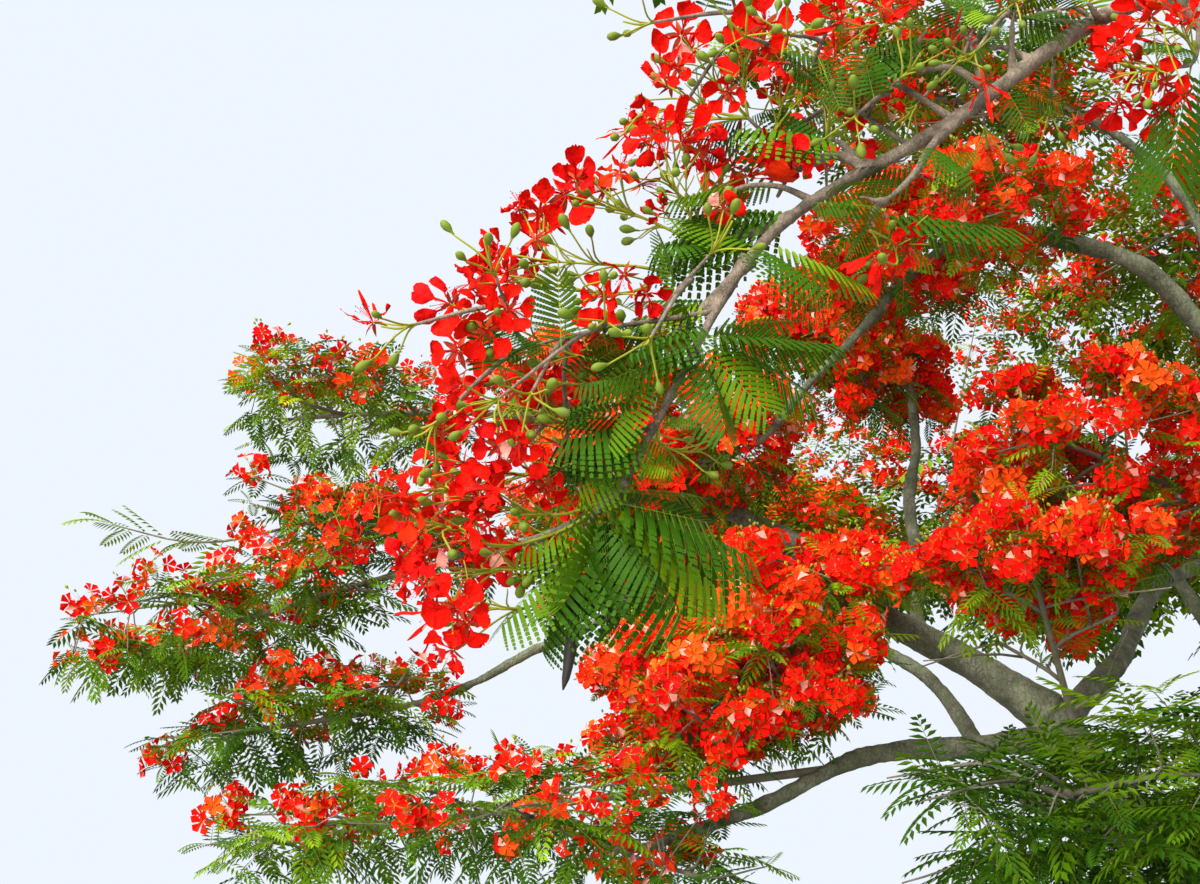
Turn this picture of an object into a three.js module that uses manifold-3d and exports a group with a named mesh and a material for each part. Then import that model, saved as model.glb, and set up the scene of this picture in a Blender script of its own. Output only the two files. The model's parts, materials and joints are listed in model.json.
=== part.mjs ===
// Flame tree: a whole tree in full bloom, millimetres, +Z up, origin at the flat cut of the trunk.
// The crown is a wide umbrella. Five boughs leave a short trunk, arms leave the boughs, and each
// arm ends in masses of foliage that fill spaces of their own.
import * as THREE from 'three';
import Module from 'manifold-3d';
import { mergeVertices } from 'three/addons/utils/BufferGeometryUtils.js';

const wasm = await Module();
wasm.setup();

// Trunk
const TRUNK_HEIGHT = 1350;
const TRUNK_LEAN = [-180, 40];
const TRUNK_FOOT_RADIUS = 320;
const TRUNK_TOP_RADIUS = 250;
const FLARE_RADIUS = 250;
const FLARE_HEIGHT = 260;
const FLARE_LOBES = 5;
const FLARE_LOBE_DEPTH = 0.42;
const TRUNK_SIDES = 20;
const TRUNK_RINGS = 5;

// Limbs
const JOINT_GAP = 0.3;
const LIMB_PULL = 0.36;
const LIMB_TAPER = 0.8;
const WANDER = 0.018;
const SEED = 20807;

// Twigs, leaves and blooms of the masses
const TWIG_SIDES = 3;
const SPACE_MARGIN = 6;
const SPACE_LEAD = 0.82;
const LIMB_CLEARANCE = 14;
const LIMB_SAMPLE = 60;
const STEM_END = 0.5;
const STEM_SHARE = 0.8;
const TWIG_ROOTS = [0.28, 0.94];
const TWIG_PLACES = [-0.6, 0.6];
const TWIG_REACH = [0.36, 0.52];
const TWIG_LIFT = [-0.45, 0.5];
const TWIG_JITTER = 0.1;
const STEM_THICKNESS = 0.036;
const TWIG_THICKNESS = 0.021;
const ROOT_DEPTH = 0.45;
const LEAF_WIDTH = 0.54;
const LEAF_THICKNESS = 0.022;
const LEAF_SIZES = [1.1, 1, 0.9, 0.8, 0.7, 0.6];
const LEAF_SLOPE = [-20, 24];
const END_LEAF = { at: 0.97, turn: [-6, 22] };
const SIDE_LEAF = { at: 0.62, turn: [40, 66] };
const BLOOM_PETALS = 5;
const BLOOM_NOTCH = 0.46;
const BLOOM_DEPTH = 0.52;
const BLOOM_AT = 0.96;
const BLOOM_TILT = 74;
const BLOOM_SIZES = [0.85, 1.15];

// A limb runs from a place on its parent, at a share of the parent's length, to a tip given as
// heading (degrees from +X towards +Y), distance from the trunk's foot and height.
// rise and fall are the slopes in degrees where it leaves and where it ends; turn and hook swing
// those two directions sideways; foot and end are its radii.
const LIMBS = [
  { name: 'bough_left', from: 'trunk', at: 0.84, tip: [158, 1630, 3170], rise: 50, fall: 52,
    foot: 160, end: 112, sides: 8, rings: 5 },
  { name: 'bough_centre', from: 'trunk', at: 0.95, tip: [96, 420, 4900], rise: 80, fall: 84,
    foot: 165, end: 92, sides: 8, rings: 5 },
  { name: 'bough_near', from: 'trunk', at: 0.86, tip: [268, 4300, 4950], rise: 60, fall: 20,
    turn: 10, hook: -8, foot: 150, end: 62, sides: 8, rings: 7 },
  { name: 'bough_right', from: 'trunk', at: 0.87, tip: [350, 2250, 3350], rise: 46, fall: 40,
    foot: 150, end: 92, sides: 8, rings: 5 },
  { name: 'bough_back', from: 'trunk', at: 0.85, tip: [76, 2250, 3350], rise: 48, fall: 40,
    foot: 150, end: 92, sides: 8, rings: 5 },

  { name: 'arm_left', from: 'bough_left', at: 1, tip: [165.4, 3580, 4570], rise: 34, fall: 30,
    foot: 98, end: 56, sides: 7, rings: 5 },
  { name: 'arm_low', from: 'bough_left', at: 0.93, tip: [178.5, 3650, 2450], rise: 4, fall: -22,
    foot: 74, end: 36, sides: 6, rings: 4 },
  { name: 'arm_inner', from: 'bough_left', at: 0.97, tip: [82, 2900, 4700], rise: 38, fall: 18,
    turn: -12, foot: 76, end: 42, sides: 6, rings: 4 },
  { name: 'arm_left_back', from: 'bough_left', at: 0.62, tip: [130, 4100, 4500], rise: 16, fall: 26,
    foot: 70, end: 36, sides: 6, rings: 4 },
  { name: 'tier_top', from: 'arm_left', at: 1, tip: [166, 5050, 5180], rise: 38, fall: 2,
    foot: 44, end: 24, sides: 6, rings: 4 },
  { name: 'tier_mid', from: 'arm_left', at: 0.97, tip: [173, 5050, 4020], rise: -8, fall: -16,
    foot: 40, end: 22, sides: 6, rings: 4 },
  { name: 'tier_low', from: 'arm_left', at: 0.92, tip: [171.5, 4950, 3300], rise: -46, fall: -20,
    turn: 8, foot: 46, end: 22, sides: 6, rings: 6 },
  { name: 'riser', from: 'arm_left', at: 0.34, tip: [141.5, 2520, 5420], rise: 66, fall: 82,
    foot: 44, end: 30, sides: 6, rings: 4 },

  { name: 'arch_rise', from: 'bough_centre', at: 0.97, tip: [161, 1420, 6030], rise: 66, fall: 12,
    foot: 66, end: 50, sides: 7, rings: 5 },
  { name: 'arch_fall', from: 'arch_rise', at: 1, tip: [172.3, 3020, 4800], rise: 4, fall: -50,
    foot: 48, end: 26, sides: 6, rings: 4 },
  { name: 'crown_left', from: 'bough_centre', at: 0.9, tip: [146, 1050, 6850], rise: 68, fall: 40,
    foot: 60, end: 32, sides: 6, rings: 4 },
  { name: 'crown_front', from: 'bough_centre', at: 0.93, tip: [258, 1350, 7150], rise: 68, fall: 24,
    foot: 62, end: 32, sides: 6, rings: 4 },
  { name: 'crown_right', from: 'bough_centre', at: 1, tip: [345, 1400, 7200], rise: 70, fall: 24,
    foot: 64, end: 32, sides: 6, rings: 4 },
  { name: 'crown_back', from: 'bough_centre', at: 0.87, tip: [66, 1800, 7000], rise: 66, fall: 20,
    foot: 60, end: 32, sides: 6, rings: 4 },

  { name: 'arm_near', from: 'bough_near', at: 1, tip: [244.3, 6990, 3180], rise: 12, fall: -36,
    turn: 26, hook: -18, foot: 52, end: 18, sides: 6, rings: 7 },
  { name: 'near_limb', from: 'arm_near', at: 1, tip: [238.2, 7530, 2290], rise: -26, fall: -68,
    foot: 16.5, end: 5.5, sides: 6, rings: 8 },
  { name: 'side_left', from: 'bough_near', at: 0.55, tip: [224, 3900, 6350], rise: 52, fall: 14,
    turn: 16, foot: 62, end: 30, sides: 6, rings: 4 },
  { name: 'side_front', from: 'bough_near', at: 0.97, tip: [292, 4900, 5600], rise: 24, fall: 4,
    foot: 44, end: 28, sides: 6, rings: 4 },

  { name: 'arm_right_front', from: 'bough_right', at: 0.93, tip: [324, 4050, 5550], rise: 42,
    fall: 18, foot: 62, end: 30, sides: 6, rings: 4 },
  { name: 'arm_right', from: 'bough_right', at: 1, tip: [0, 4200, 5650], rise: 48, fall: 16,
    foot: 66, end: 30, sides: 6, rings: 4 },
  { name: 'arm_right_back', from: 'bough_right', at: 0.88, tip: [33, 4050, 5500], rise: 42,
    fall: 18, foot: 60, end: 30, sides: 6, rings: 4 },
  { name: 'arm_back_right', from: 'bough_back', at: 0.93, tip: [64, 4200, 5550], rise: 42,
    fall: 16, foot: 62, end: 30, sides: 6, rings: 4 },
  { name: 'arm_back', from: 'bough_back', at: 1, tip: [98, 4200, 5600], rise: 46, fall: 16,
    foot: 66, end: 30, sides: 6, rings: 4 },
];

// A mass is a flattened egg of space. It starts at a share of its limb's length, points along
// heading and rise, and half holds its half-length, half-width and half-depth. lead is how far
// its middle lies beyond the start, as a share of the half-length. leaf and bloom are the sizes
// of one spray. A red mass bears blossom at the ends of more of its twigs, a bare one bears none.
const WIDE = { half: [2150, 1900, 760], twigs: 5, leaf: 1300, bloom: 320, lead: 0.7 };
const TOP = { half: [2100, 1950, 760], twigs: 5, leaf: 1300, bloom: 330, red: true, lead: 0.7 };
const TIER = { half: [1000, 760, 330], twigs: 4, leaf: 740, bloom: 190 };
const CLUMP = { half: [840, 760, 520], twigs: 5, leaf: 640, bloom: 210, red: true };
const NEAR = { half: [210, 190, 190], twigs: 5, leaf: 190, bloom: 52, red: true,
  slope: [-62, 6] };

const MASSES = [
  { name: 'tier_top_mass', on: 'tier_top', heading: 168, rise: 2, ...TIER, half: [820, 900, 430] },
  { name: 'tier_upper_mass', on: 'arm_left', at: 0.98, heading: 158, rise: 42, ...CLUMP },
  { name: 'tier_mid_mass', on: 'tier_mid', at: 0.82, heading: 160, rise: 14, ...TIER,
    half: [900, 760, 300] },
  { name: 'tier_tip_mass', on: 'tier_mid', heading: 178, rise: -17, ...TIER, half: [1200, 860, 330] },
  { name: 'tier_low_mass', on: 'tier_low', heading: 175, rise: -10, ...TIER, half: [950, 800, 330] },
  { name: 'tier_foot_mass', on: 'arm_low', at: 0.6, heading: 177, rise: -7, ...TIER, lead: 2.6,
    half: [950, 700, 330] },
  { name: 'low_mass', on: 'arm_low', heading: 186, rise: 8, ...TIER, lead: 0.4,
    half: [1100, 850, 440] },
  { name: 'arm_left_mass', on: 'arm_left', at: 0.5, heading: 210, rise: -34, ...CLUMP, lead: 0.9,
    half: [1000, 860, 720] },
  { name: 'arch_mass', on: 'arch_fall', heading: 150, rise: -10, ...CLUMP },
  { name: 'riser_mass', on: 'riser', heading: 140, rise: 44, ...CLUMP, half: [760, 800, 520] },
  { name: 'arch_top_mass', on: 'arch_rise', at: 0.98, heading: 200, rise: -14, ...CLUMP,
    half: [860, 950, 460] },
  { name: 'centre_mass', on: 'bough_centre', at: 0.78, heading: 190, rise: 20, ...CLUMP, lead: 1.35,
    half: [850, 850, 720] },
  { name: 'inner_mass', on: 'bough_left', at: 0.9, heading: 246, rise: 34, ...CLUMP, lead: 1.2,
    half: [820, 800, 480] },
  { name: 'leafy_mass', on: 'bough_left', at: 0.5, heading: 236, rise: 8, ...TIER, lead: 1.5,
    half: [1150, 1050, 620], twigs: 5, leaf: 800, bare: true },
  { name: 'left_back_mass', on: 'arm_left_back', heading: 108, rise: 24, ...WIDE,
    half: [2150, 1900, 900] },
  { name: 'back_inner_mass', on: 'arm_inner', heading: 92, rise: 10, ...WIDE },

  { name: 'crown_left_mass', on: 'crown_left', heading: 165, rise: 16, ...TOP,
    lead: 0.82, half: [1150, 1350, 620] },
  { name: 'crown_front_mass', on: 'crown_front', heading: 262, rise: 4, ...TOP },
  { name: 'crown_right_mass', on: 'crown_right', heading: 352, rise: 4, ...TOP },
  { name: 'crown_back_mass', on: 'crown_back', heading: 82, rise: 2, ...TOP },

  { name: 'side_left_mass', on: 'side_left', heading: 218, rise: -2, ...WIDE, lead: 0.82,
    half: [1900, 1600, 640] },
  { name: 'front_mass', on: 'arm_near', at: 0.24, heading: 255, rise: 22, ...WIDE, lead: 0.82,
    half: [1700, 1500, 600] },
  { name: 'side_front_mass', on: 'side_front', heading: 300, rise: -10, ...WIDE },
  { name: 'right_front_mass', on: 'arm_right_front', heading: 332, rise: -8, ...WIDE },
  { name: 'right_mass', on: 'arm_right', heading: 4, rise: -8, ...WIDE },
  { name: 'right_back_mass', on: 'arm_right_back', heading: 38, rise: -8, ...WIDE },
  { name: 'back_right_mass', on: 'arm_back_right', heading: 70, rise: -8, ...WIDE },
  { name: 'back_mass', on: 'arm_back', heading: 104, rise: -8, ...WIDE },

  { name: 'near_left_mass', on: 'near_limb', at: 0.78, heading: 184, rise: -14, ...NEAR, lead: 0.62,
    half: [270, 230, 330] },
  { name: 'near_high_mass', on: 'near_limb', at: 0.44, heading: 180, rise: 38, ...NEAR, lead: 0.9,
    half: [240, 210, 220] },
  { name: 'near_inner_mass', on: 'near_limb', at: 0.16, heading: 168, rise: 12, ...NEAR, lead: 0.4,
    half: [270, 210, 190] },
];

const BARK = { color: 0x8d8273, roughness: 0.9, metalness: 0 };
const LEAFY = { color: 0x4f8a2c, roughness: 0.6, metalness: 0 };
const FLOWERING = { color: 0xd8321c, roughness: 0.55, metalness: 0 };

const radians = THREE.MathUtils.degToRad;
const lerp = THREE.MathUtils.lerp;

function direction(heading, rise) {
  const flat = Math.cos(radians(rise));
  return new THREE.Vector3(
    flat * Math.cos(radians(heading)), flat * Math.sin(radians(heading)), Math.sin(radians(rise)));
}

function place([heading, distance, height]) {
  return direction(heading, 0).multiplyScalar(distance).setZ(height);
}

// A repeatable number from 0 to 1 for a list of whole numbers.
function chance(...keys) {
  let mix = SEED;
  for (const key of keys) {
    mix = Math.imul(mix ^ (key + 1), 0x9e3779b1) >>> 0;
    mix = (mix ^ (mix >>> 15)) >>> 0;
  }
  mix = Math.imul(mix ^ (mix >>> 13), 0x85ebca6b) >>> 0;
  return ((mix ^ (mix >>> 16)) >>> 0) / 4294967296;
}

function between(low, high, ...keys) {
  return lerp(low, high, chance(...keys));
}

function solidOf(geometry) {
  const bare = geometry.clone();
  bare.deleteAttribute('normal');
  bare.deleteAttribute('uv');
  const merged = mergeVertices(bare, 1e-4);
  return new wasm.Manifold(new wasm.Mesh({
    numProp: 3,
    vertProperties: new Float32Array(merged.attributes.position.array),
    triVerts: new Uint32Array(merged.index.array),
  }));
}

function geometryOf(solid) {
  const mesh = solid.getMesh();
  const geometry = new THREE.BufferGeometry();
  geometry.setAttribute('position', new THREE.BufferAttribute(new Float32Array(mesh.vertProperties), 3));
  geometry.setIndex(new THREE.BufferAttribute(new Uint32Array(mesh.triVerts), 1));
  geometry.computeVertexNormals();
  return geometry;
}

// Of what a cut leaves, the largest part is kept and loose scraps are dropped.
function largest(solid) {
  return solid.decompose().reduce((best, part) => (part.volume() > best.volume() ? part : best));
}

// A limb's middle line wanders a little from its curve, and lies on it at both ends.
class LimbCurve extends THREE.CubicBezierCurve3 {
  constructor(start, tip, row, index) {
    const span = start.distanceTo(tip);
    const across = tip.clone().sub(start);
    const out = THREE.MathUtils.radToDeg(Math.atan2(across.y, across.x));
    const pull = span * LIMB_PULL;
    const first = direction(out + (row.turn ?? 0), row.rise).multiplyScalar(pull).add(start);
    const last = direction(out + (row.hook ?? 0), row.fall).multiplyScalar(-pull).add(tip);
    super(start, first, last, tip);
    this.side = across.clone().cross(new THREE.Vector3(0, 0, 1)).normalize();
    this.lift = this.side.clone().cross(across).normalize();
    this.sway = span * WANDER;
    this.phase = [chance(index, 1) * 2 * Math.PI, chance(index, 2) * 2 * Math.PI];
  }

  getPoint(share, target = new THREE.Vector3()) {
    super.getPoint(share, target);
    const swell = Math.sin(Math.PI * share) * this.sway;
    const turns = 3 * Math.PI * share;
    target.addScaledVector(this.side, swell * Math.sin(turns + this.phase[0]));
    return target.addScaledVector(this.lift, swell * Math.sin(turns + this.phase[1]));
  }
}

// A tapering rod along a curve, made from a cylinder whose rings are moved onto the curve.
// extra swells it all over, its far end too.
function rodGeometry(curve, radiusAt, sides, rings, extra = 0) {
  const geometry = new THREE.CylinderGeometry(1, 1, 1, sides, rings);
  const frames = [];
  let across = new THREE.Vector3(0, 0, 1);
  for (let ring = 0; ring <= rings; ring += 1) {
    const share = ring / rings;
    const tangent = curve.getTangent(share);
    if (Math.abs(across.dot(tangent)) > 0.9) across = new THREE.Vector3(0, 1, 0);
    across = across.addScaledVector(tangent, -across.dot(tangent)).normalize();
    const centre = curve.getPoint(share).addScaledVector(tangent, ring === rings ? extra : 0);
    frames.push({ centre, across, other: tangent.clone().cross(across) });
    across = across.clone();
  }
  const position = geometry.attributes.position;
  const point = new THREE.Vector3();
  for (let i = 0; i < position.count; i += 1) {
    point.fromBufferAttribute(position, i);
    const share = point.y + 0.5;
    const frame = frames[Math.round(share * rings)];
    const angle = Math.atan2(point.z, point.x);
    const reach = Math.hypot(point.x, point.z) * (radiusAt(share) + extra);
    const spot = frame.centre.clone()
      .addScaledVector(frame.across, reach * Math.sin(angle))
      .addScaledVector(frame.other, reach * Math.cos(angle));
    position.setXYZ(i, spot.x, spot.y, spot.z);
  }
  return geometry;
}

function trunkGeometry(extra) {
  const top = new THREE.Vector3(TRUNK_LEAN[0], TRUNK_LEAN[1], TRUNK_HEIGHT);
  const geometry = new THREE.CylinderGeometry(1, 1, 1, TRUNK_SIDES, TRUNK_RINGS);
  const position = geometry.attributes.position;
  for (let i = 0; i < position.count; i += 1) {
    const share = (position.getY(i) + 0.5) ** 1.5;
    const height = share * TRUNK_HEIGHT;
    const angle = Math.atan2(position.getZ(i), position.getX(i));
    const spread = Math.hypot(position.getX(i), position.getZ(i));
    const lobe = 1 + FLARE_LOBE_DEPTH * Math.cos(FLARE_LOBES * angle);
    const flare = FLARE_RADIUS * lobe * Math.exp(-height / FLARE_HEIGHT);
    const radius = lerp(TRUNK_FOOT_RADIUS, TRUNK_TOP_RADIUS, share) + flare + extra;
    position.setXYZ(i,
      top.x * share + spread * radius * Math.cos(angle),
      top.y * share - spread * radius * Math.sin(angle),
      height + (share > 0.99 ? extra : 0));
  }
  return geometry;
}

const trunkLine = new THREE.LineCurve3(
  new THREE.Vector3(0, 0, 0), new THREE.Vector3(TRUNK_LEAN[0], TRUNK_LEAN[1], TRUNK_HEIGHT));

const limbs = new Map();

function addTrunk() {
  const radiusAt = (share) => lerp(TRUNK_FOOT_RADIUS, TRUNK_TOP_RADIUS, share);
  const solid = solidOf(trunkGeometry(0));
  const cutter = solidOf(trunkGeometry(JOINT_GAP));
  limbs.set('trunk', { curve: trunkLine, radiusAt, solid, cutter, children: [] });
}

function addLimb(row, index) {
  const parent = limbs.get(row.from);
  const start = parent.curve.getPoint(row.at);
  const curve = new LimbCurve(start, place(row.tip), row, index);
  const radiusAt = (share) => lerp(row.foot, row.end, share ** LIMB_TAPER);
  const rod = (extra) => solidOf(rodGeometry(curve, radiusAt, row.sides, row.rings, extra));
  let solid = rod(0);
  for (const other of [parent, ...parent.children]) solid = solid.subtract(other.cutter);
  const limb = { curve, radiusAt, solid: largest(solid), cutter: rod(JOINT_GAP), children: [] };
  parent.children.push(limb);
  limbs.set(row.name, limb);
}

addTrunk();
LIMBS.forEach(addLimb);

// The egg of each mass, as a middle, three directions and three half sizes.
function spaceOf(row) {
  const limb = limbs.get(row.on);
  const start = limb.curve.getPoint(row.at ?? 1);
  const along = direction(row.heading, row.rise);
  const across = direction(row.heading + 90, 0);
  const up = along.clone().cross(across);
  const middle = start.clone().addScaledVector(along, row.half[0] * (row.lead ?? SPACE_LEAD));
  return { row, limb, start, middle, axes: [along, across, up], walls: [] };
}

function reachAlong(space, way) {
  const parts = space.axes.map((axis, i) => way.dot(axis) / space.row.half[i]);
  return 1 / Math.hypot(...parts);
}

// Where two eggs overlap, a flat wall between them gives each its own side.
function addWalls(spaces) {
  for (const one of spaces) {
    for (const other of spaces) {
      if (one === other) continue;
      const way = other.middle.clone().sub(one.middle);
      const apart = way.length();
      way.normalize();
      const mine = reachAlong(one, way);
      const theirs = reachAlong(other, way);
      if (mine + theirs < apart) continue;
      const limit = one.middle.dot(way) + (apart * mine) / (mine + theirs) - SPACE_MARGIN;
      one.walls.push({ way, limit });
    }
  }
}

const spaces = MASSES.map(spaceOf);
addWalls(spaces);

function inSpace(space, point) {
  const offset = point.clone().sub(space.middle);
  const parts = space.axes.map((axis, i) => offset.dot(axis) / space.row.half[i]);
  return Math.hypot(...parts) < 1 && space.walls.every(({ way, limit }) => point.dot(way) < limit);
}

const limbSamples = [...limbs.values()].flatMap(({ curve, radiusAt }) => {
  const count = Math.ceil(curve.getLength() / LIMB_SAMPLE);
  return Array.from({ length: count + 1 }, (_, i) => {
    const share = i / count;
    return { point: curve.getPoint(share), radius: radiusAt(share) + LIMB_CLEARANCE };
  });
});

function clearOfLimbs(from, to, half) {
  const line = new THREE.Line3(from, to);
  const nearest = new THREE.Vector3();
  return limbSamples.every(({ point, radius }) => {
    line.closestPointToPoint(point, true, nearest);
    return nearest.distanceTo(point) > Math.hypot(radius + half, LIMB_SAMPLE / 2);
  });
}

function spotIn(space, x, y, z) {
  const { middle, axes, row } = space;
  return middle.clone()
    .addScaledVector(axes[0], x * row.half[0])
    .addScaledVector(axes[1], y * row.half[1])
    .addScaledVector(axes[2], z * row.half[2]);
}

// A spray of leaves: a thin lozenge with its root sunk into the twig.
function leafSolid(root, way, length, sink) {
  const geometry = new THREE.OctahedronGeometry(1, 0);
  geometry.scale(length / 2, (length * LEAF_WIDTH) / 2, (length * LEAF_THICKNESS) / 2);
  geometry.translate(length / 2 - sink, 0, 0);
  const along = way.clone().normalize();
  const across = new THREE.Vector3(0, 0, 1).cross(along).normalize();
  const up = along.clone().cross(across);
  geometry.applyMatrix4(new THREE.Matrix4().makeBasis(along, across, up).setPosition(root));
  return solidOf(geometry);
}

// A head of blossom: a five-petalled star, thicker in the middle, with its foot sunk in.
function bloomSolid(root, way, size) {
  const geometry = new THREE.ConeGeometry(1, 1, BLOOM_PETALS * 2, 1);
  const position = geometry.attributes.position;
  for (let i = 0; i < position.count; i += 1) {
    const spread = Math.hypot(position.getX(i), position.getZ(i));
    const angle = Math.atan2(position.getZ(i), position.getX(i));
    const tip = Math.round((angle / Math.PI) * BLOOM_PETALS) % 2 === 0;
    const reach = spread < 0.5 ? 0 : size * (tip ? 1 : BLOOM_NOTCH);
    const height = spread < 0.5 ? position.getY(i) * size * BLOOM_DEPTH : 0;
    position.setXYZ(i, reach * Math.cos(angle), height, reach * Math.sin(angle));
  }
  const turn = new THREE.Quaternion().setFromUnitVectors(
    new THREE.Vector3(0, 1, 0), way.clone().normalize());
  geometry.applyQuaternion(turn);
  geometry.translate(root.x, root.y, root.z);
  return solidOf(geometry);
}

function twigSolid(curve, foot, end, rings) {
  return solidOf(rodGeometry(curve, (share) => lerp(foot, end, share), TWIG_SIDES, rings));
}

function growMass(space, index) {
  const { row, limb, start } = space;
  const grown = [];
  const stemFoot = Math.min(limb.radiusAt(row.at ?? 1) * STEM_SHARE, row.leaf * STEM_THICKNESS);
  const twigRadius = row.leaf * TWIG_THICKNESS;
  const slopes = row.slope ?? LEAF_SLOPE;
  const set = limb.curve.getTangent(row.at ?? 1);
  const stem = new THREE.CubicBezierCurve3(
    start,
    start.clone().addScaledVector(row.at ? space.axes[0] : set, row.half[0] * 0.4),
    spotIn(space, -0.1, 0, 0.05),
    spotIn(space, STEM_END, 0, 0));
  grown.push(twigSolid(stem, stemFoot, twigRadius, 3));

  // A leaf is shortened until it lies in its space, and left out where even a short one leaves it.
  const leaf = (root, heading, rise) => {
    const way = direction(heading, rise);
    const side = direction(heading + 90, 0);
    const sink = twigRadius * ROOT_DEPTH;
    for (const size of LEAF_SIZES) {
      const length = row.leaf * size;
      const half = (length * LEAF_WIDTH) / 2;
      const tip = root.clone().addScaledVector(way, length - sink);
      const waist = root.clone().addScaledVector(way, length / 2 - sink);
      const corners = [tip, waist.clone().addScaledVector(side, half),
        waist.clone().addScaledVector(side, -half)];
      const near = root.clone().addScaledVector(way, length * 0.15);
      if (corners.every((corner) => inSpace(space, corner)) && clearOfLimbs(near, tip, half / 2)) {
        grown.push(leafSolid(root, way, length, sink));
        return;
      }
    }
  };

  const bloom = (root, way, key) => {
    const size = row.bloom * between(...BLOOM_SIZES, ...key, 2);
    if (!clearOfLimbs(root, root, size)) return;
    const rim = [0, 1, 2, 3].map((quarter) => root.clone()
      .addScaledVector(space.axes[0], size * Math.cos((quarter * Math.PI) / 2))
      .addScaledVector(space.axes[1], size * Math.sin((quarter * Math.PI) / 2)));
    if (!rim.every((point) => inSpace(space, point))) return;
    grown.push(bloomSolid(root, way, size));
  };

  for (let k = 0; k < row.twigs; k += 1) {
    const side = k % 2 === 0 ? 1 : -1;
    const step = k / (row.twigs - 1);
    const root = stem.getPoint(lerp(...TWIG_ROOTS, step));
    const x = lerp(...TWIG_PLACES, step) + between(-TWIG_JITTER, TWIG_JITTER, index, k, 3);
    const y = side * Math.sqrt(1 - x * x) * between(...TWIG_REACH, index, k, 4);
    const tip = spotIn(space, x, y, between(...TWIG_LIFT, index, k, 5));
    if (!inSpace(space, tip) || !clearOfLimbs(root.clone().lerp(tip, 0.3), tip, twigRadius)) continue;
    const twig = new THREE.LineCurve3(root, tip);
    grown.push(twigSolid(twig, twigRadius, twigRadius * 0.7, 1));
    const run = twig.getTangent(1);
    const out = THREE.MathUtils.radToDeg(Math.atan2(run.y, run.x));
    const slope = () => between(...slopes, index, k, 7 + grown.length);
    const flowers = !row.bare && k % 2 === (row.red ? 0 : 1);
    if (flowers) bloom(twig.getPoint(BLOOM_AT), direction(out + 90 * side, BLOOM_TILT), [index, k, 9]);
    else leaf(twig.getPoint(END_LEAF.at), out + side * between(...END_LEAF.turn, index, k, 6), slope());
    leaf(twig.getPoint(SIDE_LEAF.at), out - side * between(...SIDE_LEAF.turn, index, k, 8), slope());
  }
  const ahead = stem.getTangent(1);
  const out = THREE.MathUtils.radToDeg(Math.atan2(ahead.y, ahead.x));
  leaf(stem.getPoint(0.98), out, between(...slopes, index, 40, 1));
  leaf(stem.getPoint(0.8), out + 70, between(...slopes, index, 40, 2));

  let solid = wasm.Manifold.union(grown);
  for (const other of [limb, ...limb.children]) solid = solid.subtract(other.cutter);
  return largest(solid);
}

const tree = new THREE.Group();
const wood = new THREE.Group();
const crown = new THREE.Group();
tree.add(wood, crown);

function addMesh(group, name, solid, finish) {
  const mesh = new THREE.Mesh(geometryOf(solid), new THREE.MeshStandardMaterial(finish));
  mesh.name = name;
  group.add(mesh);
}

for (const [name, limb] of limbs) addMesh(wood, name, limb.solid, BARK);
spaces.forEach((space, index) => {
  const finish = space.row.red ? FLOWERING : LEAFY;
  addMesh(crown, space.row.name, growMass(space, index), finish);
});

export default tree;
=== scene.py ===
"""A flame tree in full bloom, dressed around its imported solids.

The limbs, the space of each mass and the way twigs grow in it repeat the solids' own rule, in
metres. Here each mass is carried on to fine twigs, feathery leaves and heads of blossom.
"""
import json
import math
from collections import namedtuple

import bpy
import numpy as np
from bpy.props import FloatProperty, FloatVectorProperty, IntProperty, PointerProperty
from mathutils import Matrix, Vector

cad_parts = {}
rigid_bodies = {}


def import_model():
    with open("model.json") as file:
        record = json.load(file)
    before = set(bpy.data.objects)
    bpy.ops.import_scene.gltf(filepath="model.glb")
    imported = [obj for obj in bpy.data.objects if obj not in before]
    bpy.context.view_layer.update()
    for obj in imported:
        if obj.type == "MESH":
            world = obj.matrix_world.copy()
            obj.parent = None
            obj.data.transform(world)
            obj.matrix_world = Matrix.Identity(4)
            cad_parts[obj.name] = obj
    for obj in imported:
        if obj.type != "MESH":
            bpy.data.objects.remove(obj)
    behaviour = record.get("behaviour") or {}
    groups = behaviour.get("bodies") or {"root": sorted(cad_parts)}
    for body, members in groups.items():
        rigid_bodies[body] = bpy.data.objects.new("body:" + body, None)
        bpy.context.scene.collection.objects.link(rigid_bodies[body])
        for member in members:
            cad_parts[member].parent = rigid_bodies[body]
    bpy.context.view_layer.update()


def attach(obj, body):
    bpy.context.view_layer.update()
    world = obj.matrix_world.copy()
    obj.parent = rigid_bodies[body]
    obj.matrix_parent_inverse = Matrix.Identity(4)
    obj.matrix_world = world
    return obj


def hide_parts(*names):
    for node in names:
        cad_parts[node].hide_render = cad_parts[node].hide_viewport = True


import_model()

bl_info = {
    "name": "Flame Tree",
    "version": (1, 0, 0),
    "blender": (4, 5, 0),
    "location": "View3D > Sidebar > Flame Tree",
    "description": "Builds the bark, twigs, feathery leaves and blossom of a flame tree",
    "category": "Add Mesh",
}

# Trunk, in metres
TRUNK_HEIGHT = 1.35
TRUNK_TOP = (-0.18, 0.04)
TRUNK_RADII = (0.32, 0.25)
FLARE_RADIUS = 0.25
FLARE_HEIGHT = 0.26
FLARE_LOBES = 5
FLARE_DEPTH = 0.42
# Its mesh starts below the ground, and is parted from the boughs at a height
FOOT_DEPTH = 0.12
TRUNK_CUT = 1.12
TRUNK_STEPS = 18
TRUNK_SIDES = 60

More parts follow.
